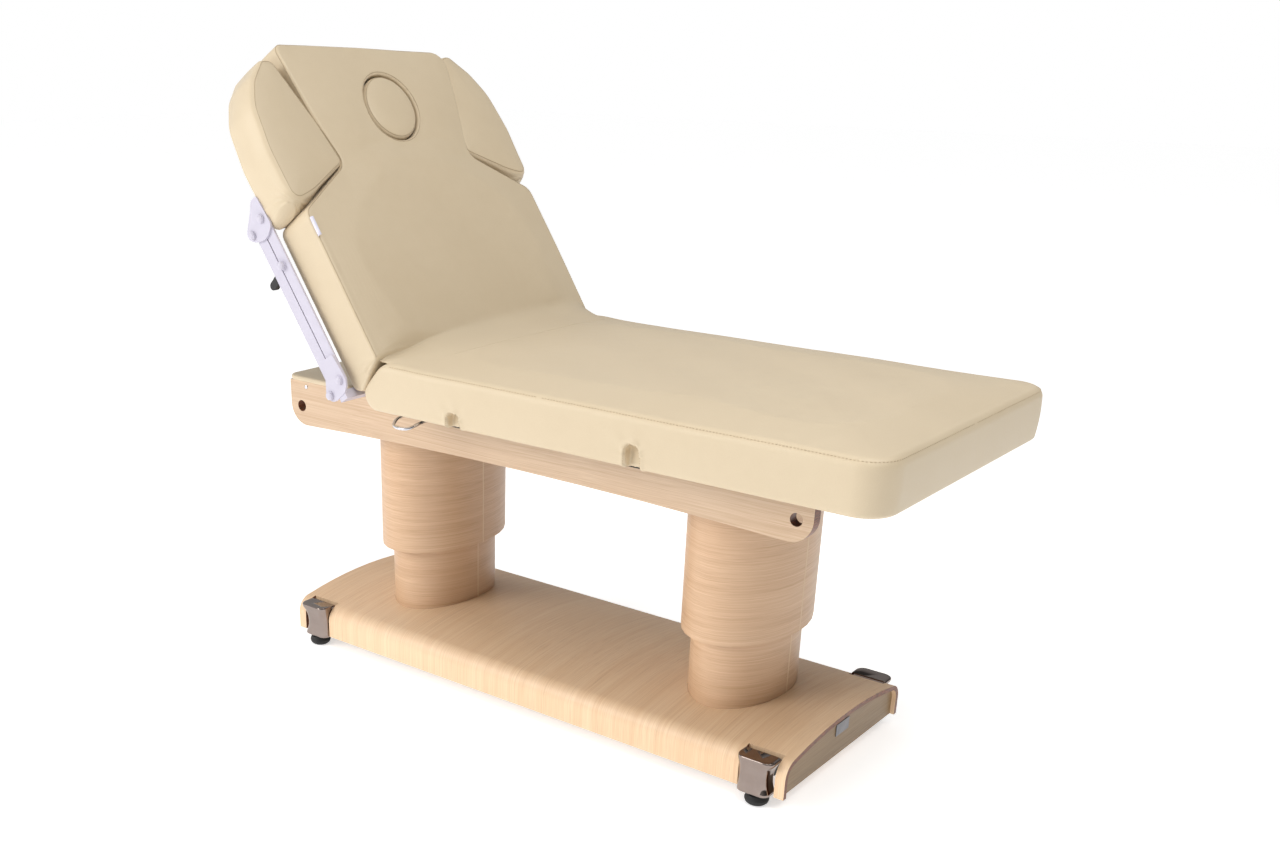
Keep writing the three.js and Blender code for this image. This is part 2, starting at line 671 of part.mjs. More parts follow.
const makeLever = (side) => {
  const [x, z] = linkPoint(LEVER);
  const y = [side * (LINK.plane - GAP), side * (LINK.plane - 7)];
  const grip = [side * (LINK.plane - 0.6), side * (LINK.plane - 13)];
  return join(
    sideways(bar([x, z], [x + 14, z - 50], 9), y, 5),
    sideways(bar([x + 14, z - 50], [x + 17, z - 64], 9), grip, 5),
  );
};

// The wing cushion fills the notch beside the head, with a curved outer edge.
const wingOutline = (side) => rounded([
  [alongX(470), side * 232, 16], [alongX(708), side * 266, 14], [alongX(706), side * 300, 22],
  [alongX(620), side * 366, 60], [alongX(500), side * 392, 60], [alongX(388), side * 380, 18],
]);

for (const [name, side] of Object.entries(SIDES)) {
  add(laidFlat, `arm_base_${name}`, makeArmBase(side), 'white');
  add(laidFlat, `arm_bar_front_${name}`, makeFrontBar(side), 'white');
  add(laidFlat, `arm_bar_rear_${name}`, makeRearBar(side), 'white');
  add(laidFlat, `arm_carrier_${name}`, makeCarrier(side), 'white');
  add(laidFlat, `arm_lever_${name}`, makeLever(side), 'black');
  const padZRange = [backThick + GAP, BED.top];
  add(laidFlat, `arm_pad_${name}`, cushion(wingOutline(side), padZRange, 9, 4), 'leather');
}

bed.position.x = ORIGIN_FROM_BASE;
bed.updateMatrixWorld(true);

export default bed;
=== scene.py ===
"""Facial treatment bed: upholstery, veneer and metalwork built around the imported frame.

Lengths inside the making functions are in millimetres from the middle of the base: x to the foot
end, y to the far side, z up. The backrest and the arm rests are drawn along the backrest instead:
s up the backrest from the fold, y across, n back from its front seam.
"""
import json
import math

import bmesh
import bpy
import numpy as np
from mathutils import Matrix, Vector
from mathutils.bvhtree import BVHTree
from mathutils.kdtree import KDTree


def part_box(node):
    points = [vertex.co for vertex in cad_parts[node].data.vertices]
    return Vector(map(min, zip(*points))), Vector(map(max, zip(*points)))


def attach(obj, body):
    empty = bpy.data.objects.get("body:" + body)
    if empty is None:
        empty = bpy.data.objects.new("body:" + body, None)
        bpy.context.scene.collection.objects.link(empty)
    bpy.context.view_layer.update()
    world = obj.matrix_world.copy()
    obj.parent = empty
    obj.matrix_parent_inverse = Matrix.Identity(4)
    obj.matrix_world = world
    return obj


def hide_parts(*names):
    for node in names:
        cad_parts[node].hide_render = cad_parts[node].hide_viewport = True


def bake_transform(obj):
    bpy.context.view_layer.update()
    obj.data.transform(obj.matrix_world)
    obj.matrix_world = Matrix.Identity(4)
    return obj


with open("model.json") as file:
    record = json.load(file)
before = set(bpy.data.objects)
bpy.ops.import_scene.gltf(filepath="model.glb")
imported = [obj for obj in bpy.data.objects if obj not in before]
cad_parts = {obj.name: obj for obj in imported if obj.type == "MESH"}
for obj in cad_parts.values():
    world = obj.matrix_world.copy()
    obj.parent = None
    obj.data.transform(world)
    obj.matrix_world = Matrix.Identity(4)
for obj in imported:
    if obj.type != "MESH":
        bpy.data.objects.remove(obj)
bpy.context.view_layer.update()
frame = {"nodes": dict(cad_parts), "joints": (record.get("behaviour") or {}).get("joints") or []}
nodes = frame["nodes"]

# ---- measures ----------------------------------------------------------------------------------
low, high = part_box("base_shell")
BASE_MIDDLE = (low.x + high.x) / 2
JOINTS = {joint["name"]: joint for joint in frame["joints"]}
HINGE = np.array(JOINTS["back_raise"]["pos_m"]) * 1000 - [BASE_MIDDLE * 1000, 0, 0]
RAISE = math.radians(55.8)  # the backrest's angle at rest
FOLD_X = -340.0  # where the fold comes when the backrest lies flat
SEAM_Z = 788.0  # height of the mattress's top seam
HALF = 379.0  # half the mattress's width
PAD = 104.0  # thickness of the backrest's and the arm rests' cushions
SPLIT_X = 159.0  # where the mattress is cut in two, halfway along the thigh section
MATTRESS_X = 278.0  # middle of the mattress along the bed
MATTRESS_REACH = 611.0  # half its length
FACE_S, FACE_Y = 585, 16  # middle of the face opening
FACE_LONG, FACE_WIDE, FACE_SLANT = 80, 78, 0.08  # its half sizes, and its drift across
COLUMN_X = (("head", -428), ("foot", 446))
SIDES = (("near", -1), ("far", 1))
ENDS = (("head", -1), ("foot", 1))
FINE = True


def link(thing):
    bpy.context.scene.collection.objects.link(thing)
    return thing


def unit(vector):
    return vector / (np.linalg.norm(vector) + 1e-9)


def in_row(points):
    """Millimetres from the middle of the base, as metres in the row frame."""
    points = np.asarray(points, float).reshape(-1, 3) / 1000
    return points + [BASE_MIDDLE, 0, 0]


def on_back(points):
    """(s, y, n) along the raised backrest, as millimetres from the middle of the base."""
    s, y, n = np.asarray(points, float).reshape(-1, 3).T
    across = FOLD_X - s - HINGE[0]
    up = SEAM_Z - n - HINGE[2]
    x = HINGE[0] + across * math.cos(RAISE) + up * math.sin(RAISE)
    z = HINGE[2] - across * math.sin(RAISE) + up * math.cos(RAISE)
    return np.stack([x, y, z], 1)


# ---- camera, light and floor -------------------------------------------------------------------
def place_camera():
    """Looks down on the near side from the foot end."""
    azimuth, elevation, roll = math.radians(39.22), math.radians(23.84), math.radians(0.36)
    back = Vector((
        math.sin(azimuth) * math.cos(elevation),
        -math.cos(azimuth) * math.cos(elevation),
        math.sin(elevation),
    ))
    right = (-back).cross(Vector((0, 0, 1))).normalized()
    up = right.cross(-back)
    side = math.cos(roll) * right + math.sin(roll) * up
    rise = -math.sin(roll) * right + math.cos(roll) * up
    data = bpy.data.cameras.new("camera")
    data.lens = 39.62
    data.sensor_width = 36
    data.shift_x = 0.109
    data.shift_y = 0.175
    data.clip_end = 50
    camera = link(bpy.data.objects.new("camera", data))
    turn = Matrix((side, rise, back)).transposed().to_4x4()
    camera.matrix_world = Matrix.Translation(in_row([1816.3, -2526.0, 1443.9])[0]) @ turn
    bpy.context.scene.camera = camera


def place_light(name, spot, target, size, power, colour):
    data = bpy.data.lights.new(name, "AREA")
    data.shape = "RECTANGLE"
    data.size, data.size_y = size
    data.energy = power
    data.color = colour
    lamp = link(bpy.data.objects.new(name, data))
    lamp.location = spot
    aim = Vector(target) - Vector(spot)
    lamp.rotation_euler = aim.to_track_quat("-Z", "Y").to_euler()


def lay_floor():
    bpy.ops.mesh.primitive_plane_add(size=40)
    floor = bpy.context.object
    floor.name = "studio_floor"
    paint = bpy.data.materials.new("studio_floor")
    paint.use_nodes = True
    sockets = paint.node_tree.nodes["Principled BSDF"].inputs
    sockets["Base Color"].default_value = (0.94, 0.94, 0.94, 1)
    sockets["Roughness"].default_value = 0.9
    sockets["Specular IOR Level"].default_value = 0.1
    sockets["Emission Color"].default_value = (1, 1, 1, 1)
    sockets["Emission Strength"].default_value = 0.55
    floor.data.materials.append(paint)


def light_studio():
    world = bpy.data.worlds.new("studio")
    world.use_nodes = True
    w = Wiring(world.node_tree)
    sky = world.node_tree.nodes["Background"]
    everywhere = w.add("ShaderNodeTexCoord").outputs["Generated"]
    aim = w.add("ShaderNodeSeparateXYZ", {0: everywhere}).outputs
    # The walls behind the bed and at its foot are darker than the ceiling and the key side.
    key_side = w.plus(w.times(aim["X"], -0.75), w.times(aim["Y"], -0.45))
    lit_side = w.stretch_range(key_side, -0.7, 0.7, 0.07, 0.58)
    dome = w.plus(lit_side, w.stretch_range(aim["Z"], 0.2, 1.0, 0.0, 0.26))
    seen = w.add("ShaderNodeLightPath").outputs["Is Camera Ray"]
    w.feed(sky.inputs["Strength"], w.maths("MAXIMUM", dome, seen))
    sky.inputs["Color"].default_value = (1.0, 1.0, 1.0, 1)
    bpy.context.scene.world = world
    bpy.context.scene.view_settings.view_transform = "Standard"
    place_light("key", (-2.4, -4.0, 2.4), (0.1, 0, 0.6), (2.4, 2.0), 100, (1, 0.985, 0.965))
    place_light("top", (1.3, -0.4, 3.6), (0.0, 0, 0.7), (2.2, 2.0), 62, (1, 0.985, 0.96))


# ---- shader groups and finishes ----------------------------------------------------------------
def srgb(red, green, blue):
    """A linear colour from 0 to 255 screen values."""
    return tuple(
        v / 12.92 if v <= 0.04045 else ((v + 0.055) / 1.055) ** 2.4
        for v in (red / 255, green / 255, blue / 255)
    ) + (1.0,)


class Wiring:
    """Adds and joins nodes in one material's or one group's tree."""

    def __init__(self, tree):
        self.tree = tree

    def feed(self, socket, value):
        if isinstance(value, bpy.types.NodeSocket):
            self.tree.links.new(value, socket)
        elif value is not None:
            socket.default_value = value

    def add(self, kind, inputs=None, **settings):
        node = self.tree.nodes.new(kind)
        for key, value in settings.items():
            setattr(node, key, value)
        for key, value in (inputs or {}).items():
            self.feed(node.inputs[key], value)
        return node

    def maths(self, operation, first, second=None, third=None):
        node = self.add("ShaderNodeMath", operation=operation)
        for i, value in enumerate((first, second, third)):
            if value is not None:
                self.feed(node.inputs[i], value)
        return node.outputs[0]

    def times(self, first, second):
        return self.maths("MULTIPLY", first, second)

    def plus(self, first, second):
        return self.maths("ADD", first, second)

    def minus(self, first, second):
        return self.maths("SUBTRACT", first, second)

    def scaled(self, vector, factors):
        node = self.add("ShaderNodeVectorMath", {0: vector, 1: factors}, operation="MULTIPLY")
        return node.outputs[0]

    def noise(self, vector, scale, detail=2.0, roughness=0.5):
        node = self.add("ShaderNodeTexNoise", {
            "Vector": vector, "Scale": scale, "Detail": detail, "Roughness": roughness,
        })
        return node.outputs["Fac"]

    def blend(self, factor, first, second, kind="MIX"):
        node = self.add("ShaderNodeMix", data_type="RGBA", blend_type=kind)
        self.feed(node.inputs[0], factor)
        self.feed(node.inputs[6], first)
        self.feed(node.inputs[7], second)
        return node.outputs[2]

    def stretch_range(self, value, low, high, to_low=0.0, to_high=1.0):
        node = self.add("ShaderNodeMapRange", {
            "Value": value, "From Min": low, "From Max": high, "To Min": to_low, "To Max": to_high,
        })
        return node.outputs[0]


COLOUR, NUMBER, VECTOR = "NodeSocketColor", "NodeSocketFloat", "NodeSocketVector"


def shader_group(name, inputs, outputs):
    """An empty group with named sockets, and the wiring, inputs and outputs to fill it with."""
    tree = bpy.data.node_groups.new(name, "ShaderNodeTree")
    for label, kind, value in inputs:
        socket = tree.interface.new_socket(label, in_out="INPUT", socket_type=kind)
        if value is not None:
            socket.default_value = value
    for label, kind in outputs:
        tree.interface.new_socket(label, in_out="OUTPUT", socket_type=kind)
    wiring = Wiring(tree)
    source = tree.nodes.new("NodeGroupInput").outputs
    drain = tree.nodes.new("NodeGroupOutput").inputs
    return tree, wiring, source, drain


def make_veneer_group():
    """Fine straight wood grain. Stretch is the grain's frequency along each axis."""
    tree, w, source, drain = shader_group("veneer_grain", [
        ("Vector", VECTOR, None),
        ("Stretch", VECTOR, (9, 9, 450)),
        ("Light", COLOUR, srgb(230, 200, 165)),
        ("Dark", COLOUR, srgb(196, 158, 118)),
    ], [("Color", COLOUR), ("Height", NUMBER), ("Roughness", NUMBER)])
    place = w.scaled(source["Vector"], source["Stretch"])
    drift = w.add("ShaderNodeTexNoise", {"Vector": source["Vector"], "Scale": 2.2, "Detail": 1.0})
    sway = w.add("ShaderNodeVectorMath", {
        0: place, 1: w.scaled(drift.outputs["Color"], (5, 5, 5)),
    }, operation="ADD").outputs[0]
    fibres = w.noise(sway, 1.0, 4.0, 0.62)
    bands = w.noise(w.scaled(sway, (0.11, 0.11, 0.11)), 1.0, 3.0, 0.55)
    pores = w.stretch_range(w.noise(w.scaled(sway, (1.7, 1.7, 1.7)), 1.0, 1.0), 0.60, 0.74)
    patch = w.noise(source["Vector"], 3.0, 2.0)
    tone = w.plus(w.times(fibres, 0.68), w.times(bands, 0.32))
    patch = w.stretch_range(patch, 0.3, 0.7, -0.08, 0.08)
    tone = w.plus(w.stretch_range(tone, 0.30, 0.70), patch)
    colour = w.blend(tone, source["Light"], source["Dark"])
    colour = w.blend(w.times(pores, 0.30), colour, srgb(166, 122, 84))
    w.feed(drain["Color"], colour)
    w.feed(drain["Height"], w.minus(fibres, w.times(pores, 0.6)))
    w.feed(drain["Roughness"], w.stretch_range(fibres, 0.3, 0.7, 0.40, 0.52))
    return tree


def make_hide_group():
    """Soft leatherette: a fine pebble, faint creases and slow tone changes."""
    tree, w, source, drain = shader_group("hide_pebble", [
        ("Vector", VECTOR, None),
        ("Pebble", NUMBER, 900.0),
        ("Color", COLOUR, srgb(232, 214, 184)),
    ], [("Color", COLOUR), ("Height", NUMBER), ("Roughness", NUMBER)])
    cells = w.add("ShaderNodeTexVoronoi", {
        "Vector": source["Vector"], "Scale": source["Pebble"],
    }, feature="SMOOTH_F1").outputs["Distance"]
    fine = w.noise(source["Vector"], 1500.0, 2.0)
    slow = w.noise(source["Vector"], 5.0, 3.0)
    drift = w.noise(source["Vector"], 40.0, 3.0)
    broad = w.stretch_range(slow, 0.3, 0.7, -0.5, 0.5)
    shade = w.plus(broad, w.stretch_range(drift, 0.3, 0.7, -0.25, 0.25))
    half_shade = w.plus(w.times(shade, 0.5), 0.5)
    tint = w.blend(half_shade, srgb(206, 188, 158), srgb(216, 200, 172))
    colour = w.blend(0.5, source["Color"], tint)
    colour = w.blend(w.stretch_range(cells, 0.15, 0.55, 0.0, 0.10), colour, srgb(178, 154, 120))
    w.feed(drain["Color"], colour)
    w.feed(drain["Height"], w.minus(w.times(fine, 0.4), cells))
    w.feed(drain["Roughness"], w.stretch_range(drift, 0.3, 0.7, 0.44, 0.54))
    return tree


def make_wear_group():
    """Faint smudges and fine pits for painted and polished pieces."""
    tree, w, source, drain = shader_group("handling_marks", [
        ("Vector", VECTOR, None), ("Size", NUMBER, 30.0),
        ("Low", NUMBER, 0.2), ("High", NUMBER, 0.35),
    ], [("Roughness", NUMBER), ("Height", NUMBER), ("Mask", NUMBER)])
    smudge = w.noise(source["Vector"], source["Size"], 4.0, 0.6)
    peel = w.noise(source["Vector"], 700.0, 2.0)
    mask = w.stretch_range(smudge, 0.35, 0.65)
    span = w.minus(source["High"], source["Low"])
    w.feed(drain["Roughness"], w.plus(source["Low"], w.times(mask, span)))
    w.feed(drain["Height"], peel)
    w.feed(drain["Mask"], mask)
    return tree


GROUPS = {"veneer": make_veneer_group(), "hide": make_hide_group(), "marks": make_wear_group()}


def new_finish(name, **constants):
    """A material, its wiring, its principled shader and the piece's own coordinates."""
    paint = bpy.data.materials.new(name)
    paint.use_nodes = True
    w = Wiring(paint.node_tree)
    shader = paint.node_tree.nodes["Principled BSDF"]
    for key, value in constants.items():
        shader.inputs[key.replace("_", " ")].default_value = value
    place = w.add("ShaderNodeTexCoord").outputs
    return paint, w, shader, place


def use_group(w, name, inputs):
    node = w.add("ShaderNodeGroup", node_tree=GROUPS[name])
    for key, value in inputs.items():
        w.feed(node.inputs[key], value)
    return node.outputs


def bump(w, shader, height, distance, strength=1.0):
    node = w.add("ShaderNodeBump", {"Height": height, "Distance": distance, "Strength": strength})
    w.feed(shader.inputs["Normal"], node.outputs[0])


def veneer_finish(name, stretch, light, dark, edge_axis=None):
    """Lacquered veneer. Faces along edge_axis ("on") or off it ("off") show the plywood's edge."""
    paint, w, shader, place = new_finish(name)
    grain = use_group(w, "veneer", {
        "Vector": place["Object"], "Stretch": stretch, "Light": srgb(*light), "Dark": srgb(*dark),
    })
    colour = grain["Color"]
    if edge_axis is not None:
        plies = w.noise(w.scaled(place["Object"], (60, 60, 420)), 1.0, 2.0)
        ply = w.blend(w.stretch_range(plies, 0.4, 0.6), srgb(136, 80, 50), srgb(98, 56, 36))
        facing = w.add("ShaderNodeSeparateXYZ", {0: place["Normal"]}).outputs[edge_axis[0]]
        turned = w.maths("GREATER_THAN", w.maths("ABSOLUTE", facing), 0.6)
        if edge_axis[1] == "off":
            turned = w.minus(1.0, turned)
        colour = w.blend(turned, colour, ply)
    w.feed(shader.inputs["Base Color"], colour)
    w.feed(shader.inputs["Roughness"], grain["Roughness"])
    shader.inputs["Coat Weight"].default_value = 0.12
    shader.inputs["Coat Roughness"].default_value = 0.3
    bump(w, shader, grain["Height"], 0.00025, 0.5)
    return paint


def hide_finish(name, colour, pebble=900.0):
    """Leatherette, or with a finer pebble its stitches and its seam cords; the cords are darker
    than the hide, partly the seams' own stitching colour and partly painted shade in the seam
    grooves.
    """
    paint, w, shader, place = new_finish(name, Sheen_Weight=0.12, Sheen_Roughness=0.5)
    hide = use_group(w, "hide", {
        "Vector": place["Object"], "Pebble": pebble, "Color": srgb(*colour),
    })
    w.feed(shader.inputs["Base Color"], hide["Color"])
    w.feed(shader.inputs["Roughness"], hide["Roughness"])
    bump(w, shader, hide["Height"], 0.00018, 0.5)
    return paint


def marked_finish(name, colour, worn, low, high, depth, metal=0.0):
    """Paint, metal, rubber or plastic with faint handling marks."""
    paint, w, shader, place = new_finish(name, Metallic=metal)
    marks = use_group(w, "marks", {"Vector": place["Object"], "Low": low, "High": high})
    tone = w.blend(w.times(marks["Mask"], 0.35), srgb(*colour), srgb(*worn))
    w.feed(shader.inputs["Base Color"], tone)
    w.feed(shader.inputs["Roughness"], marks["Roughness"])
    bump(w, shader, marks["Height"], depth, 0.4)
    return paint


FINISHES = {
    "shell": veneer_finish("oak_shell", (620, 5, 5), (250, 221, 186), (230, 191, 150), ("X", "on")),
    "column": veneer_finish("oak_column", (5, 5, 560), (226, 192, 158), (196, 156, 119)),
    "rail": veneer_finish("oak_rail", (5, 5, 560), (222, 196, 168), (190, 158, 126), ("Y", "off")),
    "panel": veneer_finish("olive_panel", (5, 5, 480), (154, 128, 92), (124, 99, 68)),
    "strip": veneer_finish("oak_strip", (430, 430, 9), (236, 212, 180), (214, 182, 144)),
    "hide": hide_finish("cream_hide", (211, 194, 165)),
    # Seam cords: darker than the hide, partly the seams' own stitching colour and partly painted
    # shade in the seam grooves.
    "cord_with_seam_shade": hide_finish("seam_shade_cord_finish", (140, 116, 80), 2500.0),
    "stitch": hide_finish("cream_stitch", (170, 147, 112), 2500.0),
}
for finish, name, *look in (
    # finish, material, colour, worn colour, lowest and highest roughness, bump depth, metal
    ("board", "stained_board", (52, 50, 44), (66, 62, 54), 0.5, 0.7, 0.00006),
    ("white", "white_paint", (200, 196, 210), (192, 188, 202), 0.30, 0.42, 0.00003),
    ("gunmetal", "dark_chrome", (150, 138, 132), (134, 120, 114), 0.05, 0.09, 0.000004, 1.0),
    ("chrome", "bright_chrome", (214, 214, 220), (214, 214, 220), 0.06, 0.14, 0.00001, 1.0),
    ("steel", "grey_steel", (132, 132, 134), (116, 116, 118), 0.32, 0.48, 0.00004, 0.8),
    ("black", "black_plastic", (30, 30, 30), (38, 38, 38), 0.42, 0.58, 0.00007),
    ("rubber", "black_rubber", (22, 22, 22), (32, 32, 32), 0.55, 0.75, 0.0001),
    ("plate", "grey_plate", (128, 128, 132), (116, 116, 120), 0.3, 0.45, 0.00003, 0.6),
    ("tag", "woven_tag", (222, 220, 236), (222, 220, 236), 0.7, 0.85, 0.0001),
):
    FINISHES[finish] = marked_finish(name, *look)


# ---- the frame's own pieces ----------------------------------------------------------------------
def dress(piece, finish, smooth=True):
    """Gives a piece its finish, with smooth or flat shading."""
    piece.data.materials.clear()
    piece.data.materials.append(FINISHES[finish])
    piece.data.polygons.foreach_set("use_smooth", [smooth] * len(piece.data.polygons))


def dress_node(name, finish, edge):
    """Gives a frame piece its finish and softly broken edges (edge in millimetres)."""
    piece = nodes[name]
    dress(piece, finish)
    weld = piece.modifiers.new("weld", "WELD")
    weld.merge_threshold = 0.00001
    broken = piece.modifiers.new("broken_edges", "BEVEL")
    broken.width = edge / 1000
    broken.segments = 2
    broken.limit_method = "ANGLE"
    broken.angle_limit = math.radians(28)
    broken.harden_normals = True
    even = piece.modifiers.new("even_faces", "WEIGHTED_NORMAL")
    even.keep_sharp = True


def dress_frame():
    looks = {
        "shell": ["base_shell"],
        "panel": ["base_panel_foot", "base_panel_head"],
        "column": [n for n in nodes if n.startswith(("column_cover", "column_sleeve"))],
        "rail": ["side_rail_near", "side_rail_far"],
        "board": ["seat_board", "thigh_board", "calf_board", "back_board"],
        "chrome": ["handset_hook"],
        "plate": ["label_plate"],
        "black": ["mains_inlet", "control_box", "back_actuator", "leg_actuator",
                  "floor_rail_near", "floor_rail_far", "arm_lever_near", "arm_lever_far"],
        "rubber": [n for n in nodes if n.startswith("levelling_foot")],
        "white": [n for n in nodes if n.startswith(("arm_base", "arm_bar", "arm_carrier"))],
        "gunmetal": [n for n in nodes if n.startswith("corner_cover")],
    }
    dressed = set()
    for finish, names in looks.items():
        for name in names:
            dress_node(name, finish, 0.5 if finish == "white" else 0.8)
            dressed.add(name)
    for name in nodes:
        soft = name.endswith("_pad") or "_pad_" in name or name == "face_plug"
        if name not in dressed and not soft:
            dress_node(name, "steel", 0.6)


# ---- making meshes -----------------------------------------------------------------------------
def new_piece(name, vertices, faces, finish, smooth=True):
    """A closed piece from points in millimetres from the base's middle."""
    mesh = bpy.data.meshes.new(name)
    mesh.from_pydata([tuple(v) for v in in_row(vertices)], [], [tuple(f) for f in faces])
    mesh.validate()
    piece = link(bpy.data.objects.new(name, mesh))
    dress(piece, finish, smooth)
    return outward(piece)


def outward(piece):
    """Turns the piece's faces so that they all look outwards."""
    work = bmesh.new()
    work.from_mesh(piece.data)
    bmesh.ops.remove_doubles(work, verts=work.verts, dist=1e-6)
    bmesh.ops.recalc_face_normals(work, faces=work.faces)
    work.to_mesh(piece.data)
    work.free()
    return piece


def ring_points(centre, side, lift, radius, sides):
    """A round ring of points in the plane of side and lift."""
    turns = [2 * math.pi * k / sides for k in range(sides)]
    return [centre + radius * (math.cos(turn) * side + math.sin(turn) * lift) for turn in turns]


def ring_faces(count, sides, first=0, closed=False):
    """Faces that join rings of points one to the next, capped at both ends unless closed."""
    faces = []
    for i in range(count if closed else count - 1):
        a, b = first + i * sides, first + (i + 1) % count * sides
        for k in range(sides):
            m = (k + 1) % sides
            faces.append((a + k, a + m, b + m, b + k))
    if not closed:
        faces.append(range(first, first + sides))
        faces.append(range(first + (count - 1) * sides, first + count * sides))
    return faces


def sheet_faces(rows, columns):
    """Faces of a thin sheet, front points row by row and then the back ones, closed at the rim."""
    shift = rows * columns
    faces = []
    for i in range(rows - 1):
        for j in range(columns - 1):
            a = i * columns + j
            faces.append((a, a + 1, a + columns + 1, a + columns))
            faces.append((shift + a, shift + a + columns, shift + a + columns + 1, shift + a + 1))
    rim = list(range(columns)) + [i * columns + columns - 1 for i in range(1, rows)]
    rim += [(rows - 1) * columns + j for j in range(columns - 2, -1, -1)]
    rim += [i * columns for i in range(rows - 2, 0, -1)]
    return faces + [(a, b, shift + b, shift + a) for a, b in zip(rim, rim[1:] + rim[:1])]


def tube_along(name, points, radius, closed=True):
    """A dark seam cord of round section along points (millimetres from the base's middle): partly
    the seam's own stitching, partly painted shade in the seam groove.
    """
    count, sides = len(points), 6
    rings = []
    for i in range(count):
        before = points[i - 1] if closed or i else points[i]
        after = points[(i + 1) % count] if closed or i < count - 1 else points[i]
        along = unit(after - before)
        side = unit(np.cross(along, [0.31, 0.17, 0.93]))
        rings += ring_points(points[i], side, np.cross(side, along), radius, sides)
    return new_piece(name, rings, ring_faces(count, sides, closed=closed), "cord_with_seam_shade")


def rounded_outline(corners, step=7.0):
    """A closed outline through corners (x, y, radius), each turned into an arc."""
    outline = []
    for i, (x, y, radius) in enumerate(corners):
        corner = np.array([x, y], float)
        back = np.array(corners[i - 1][:2], float) - corner
        ahead = np.array(corners[(i + 1) % len(corners)][:2], float) - corner
        reach = 0.49 * min(np.linalg.norm(back), np.linalg.norm(ahead))
        back, ahead = unit(back), unit(ahead)
        half = math.acos(float(np.clip(back @ ahead, -1, 1))) / 2
        length = min(radius / math.tan(half), reach)
        if length < 0.5:
            outline.append(corner)
            continue
        true_radius = length * math.tan(half)
        middle = corner + unit(back + ahead) * true_radius / math.sin(half)
        start = corner + back * length - middle
        end = corner + ahead * length - middle
        turn = math.pi - 2 * half
        count = max(2, int(true_radius * turn / step) + 1)
        for k in range(count + 1):
            t = k / count
            outline.append(middle + (
                math.sin((1 - t) * turn) * start + math.sin(t * turn) * end) / math.sin(turn))
    return np.array(outline)


def outline_distance(outline, across, along):
    """Distance of points from a closed outline, negative inside it."""
    at = np.stack([across, along], 1)
    nearest = np.full(len(at), 1e9)
    inside = np.zeros(len(at), bool)
    for a, b in zip(outline, np.roll(outline, -1, axis=0)):
        edge = b - a
        rel = at - a
        t = np.clip(rel @ edge / (edge @ edge + 1e-12), 0, 1)
        gap = rel - t[:, None] * edge
        nearest = np.minimum(nearest, np.einsum("ij,ij->i", gap, gap))
        crosses = (a[1] > at[:, 1]) != (b[1] > at[:, 1])
        rise = b[1] - a[1] if abs(b[1] - a[1]) > 1e-12 else 1e-12
        inside ^= crosses & (at[:, 0] < (b[0] - a[0]) * (at[:, 1] - a[1]) / rise + a[0])
    distance = np.sqrt(nearest)
    return np.where(inside, -distance, distance)


def soft_meet(first, second, radius):
    """The part inside both shapes, with the edge where they meet rounded to radius."""
    a, b = first + radius, second + radius
    corner = np.hypot(np.maximum(a, 0), np.maximum(b, 0))
    return np.minimum(np.maximum(a, b), 0) + corner - radius


def settle_on(shape, points, steps=3, reach=6.0):
    """Moves points onto the surface where shape is nought."""
    points = points.copy()
    for _ in range(steps):
        value = shape(points)
        slope = np.stack([
            (shape(points + np.eye(3)[axis] * 0.4) - value) / 0.4 for axis in range(3)
        ], 1)
        size = np.maximum(np.einsum("ij,ij->i", slope, slope), 0.25)
        move = -value[:, None] * slope / size[:, None]
        length = np.linalg.norm(move, axis=1, keepdims=True)
        points += move * np.minimum(1, reach / np.maximum(length, 1e-9))
    return points


def mesh_points(mesh):
    flat = np.zeros(len(mesh.vertices) * 3)
    mesh.vertices.foreach_get("co", flat)
    return flat.reshape(-1, 3)


def move_points(mesh, points):
    mesh.vertices.foreach_set("co", np.asarray(points).ravel())
    mesh.update()


def evaluated_copy(piece, name):
    """A new piece with the first one's modifiers applied."""
    graph = bpy.context.evaluated_depsgraph_get()
    mesh = bpy.data.meshes.new_from_object(piece.evaluated_get(graph))
    return link(bpy.data.objects.new(name, mesh))


def twin(piece):
    copy = piece.copy()
    copy.data = piece.data.copy()
    return link(copy)


def discard(piece):
    mesh = piece.data
    bpy.data.objects.remove(piece)
    bpy.data.meshes.remove(mesh)


def blown_up(blank, shape, held, cap, cell):
    """How far a cushion's points move when its cover is filled: (points, moves), in millimetres.

    A coarse copy of the cover is inflated as cloth while its held points stay in place.
    """
    copy = twin(blank)
    remesh = copy.modifiers.new("cells", "REMESH")
    remesh.mode = "VOXEL"
    remesh.voxel_size = cell
    cover = evaluated_copy(copy, "cover")
    discard(copy)
    rest = settle_on(shape, mesh_points(cover.data) * 1000, 2)
    move_points(cover.data, rest / 1000)
    group = cover.vertex_groups.new(name="held")
    weights = held(rest)
    for i in np.nonzero(weights > 0.01)[0]:
        group.add([int(i)], float(weights[i]), "REPLACE")
    cloth = cover.modifiers.new("cloth", "CLOTH")
    settings = cloth.settings
    settings.quality = 4
    settings.mass = 0.3
    settings.use_pressure = True
    settings.uniform_pressure_force = 4
    settings.effector_weights.gravity = 0
    settings.vertex_group_mass = "held"
    settings.tension_stiffness = 18
    settings.compression_stiffness = 12
    settings.bending_stiffness = 1.5
    last = 20
    cloth.point_cache.frame_start = 1
    cloth.point_cache.frame_end = last
    scene = bpy.context.scene
    for step in range(1, last + 1):
        scene.frame_set(step)
    settled = evaluated_copy(cover, "settled")
    moves = mesh_points(settled.data) * 1000 - rest
    discard(settled)
    discard(cover)
    scene.frame_set(1)
    length = np.linalg.norm(moves, axis=1, keepdims=True)
    moves *= np.minimum(1, cap / np.maximum(length, 1e-6))
    return rest, moves


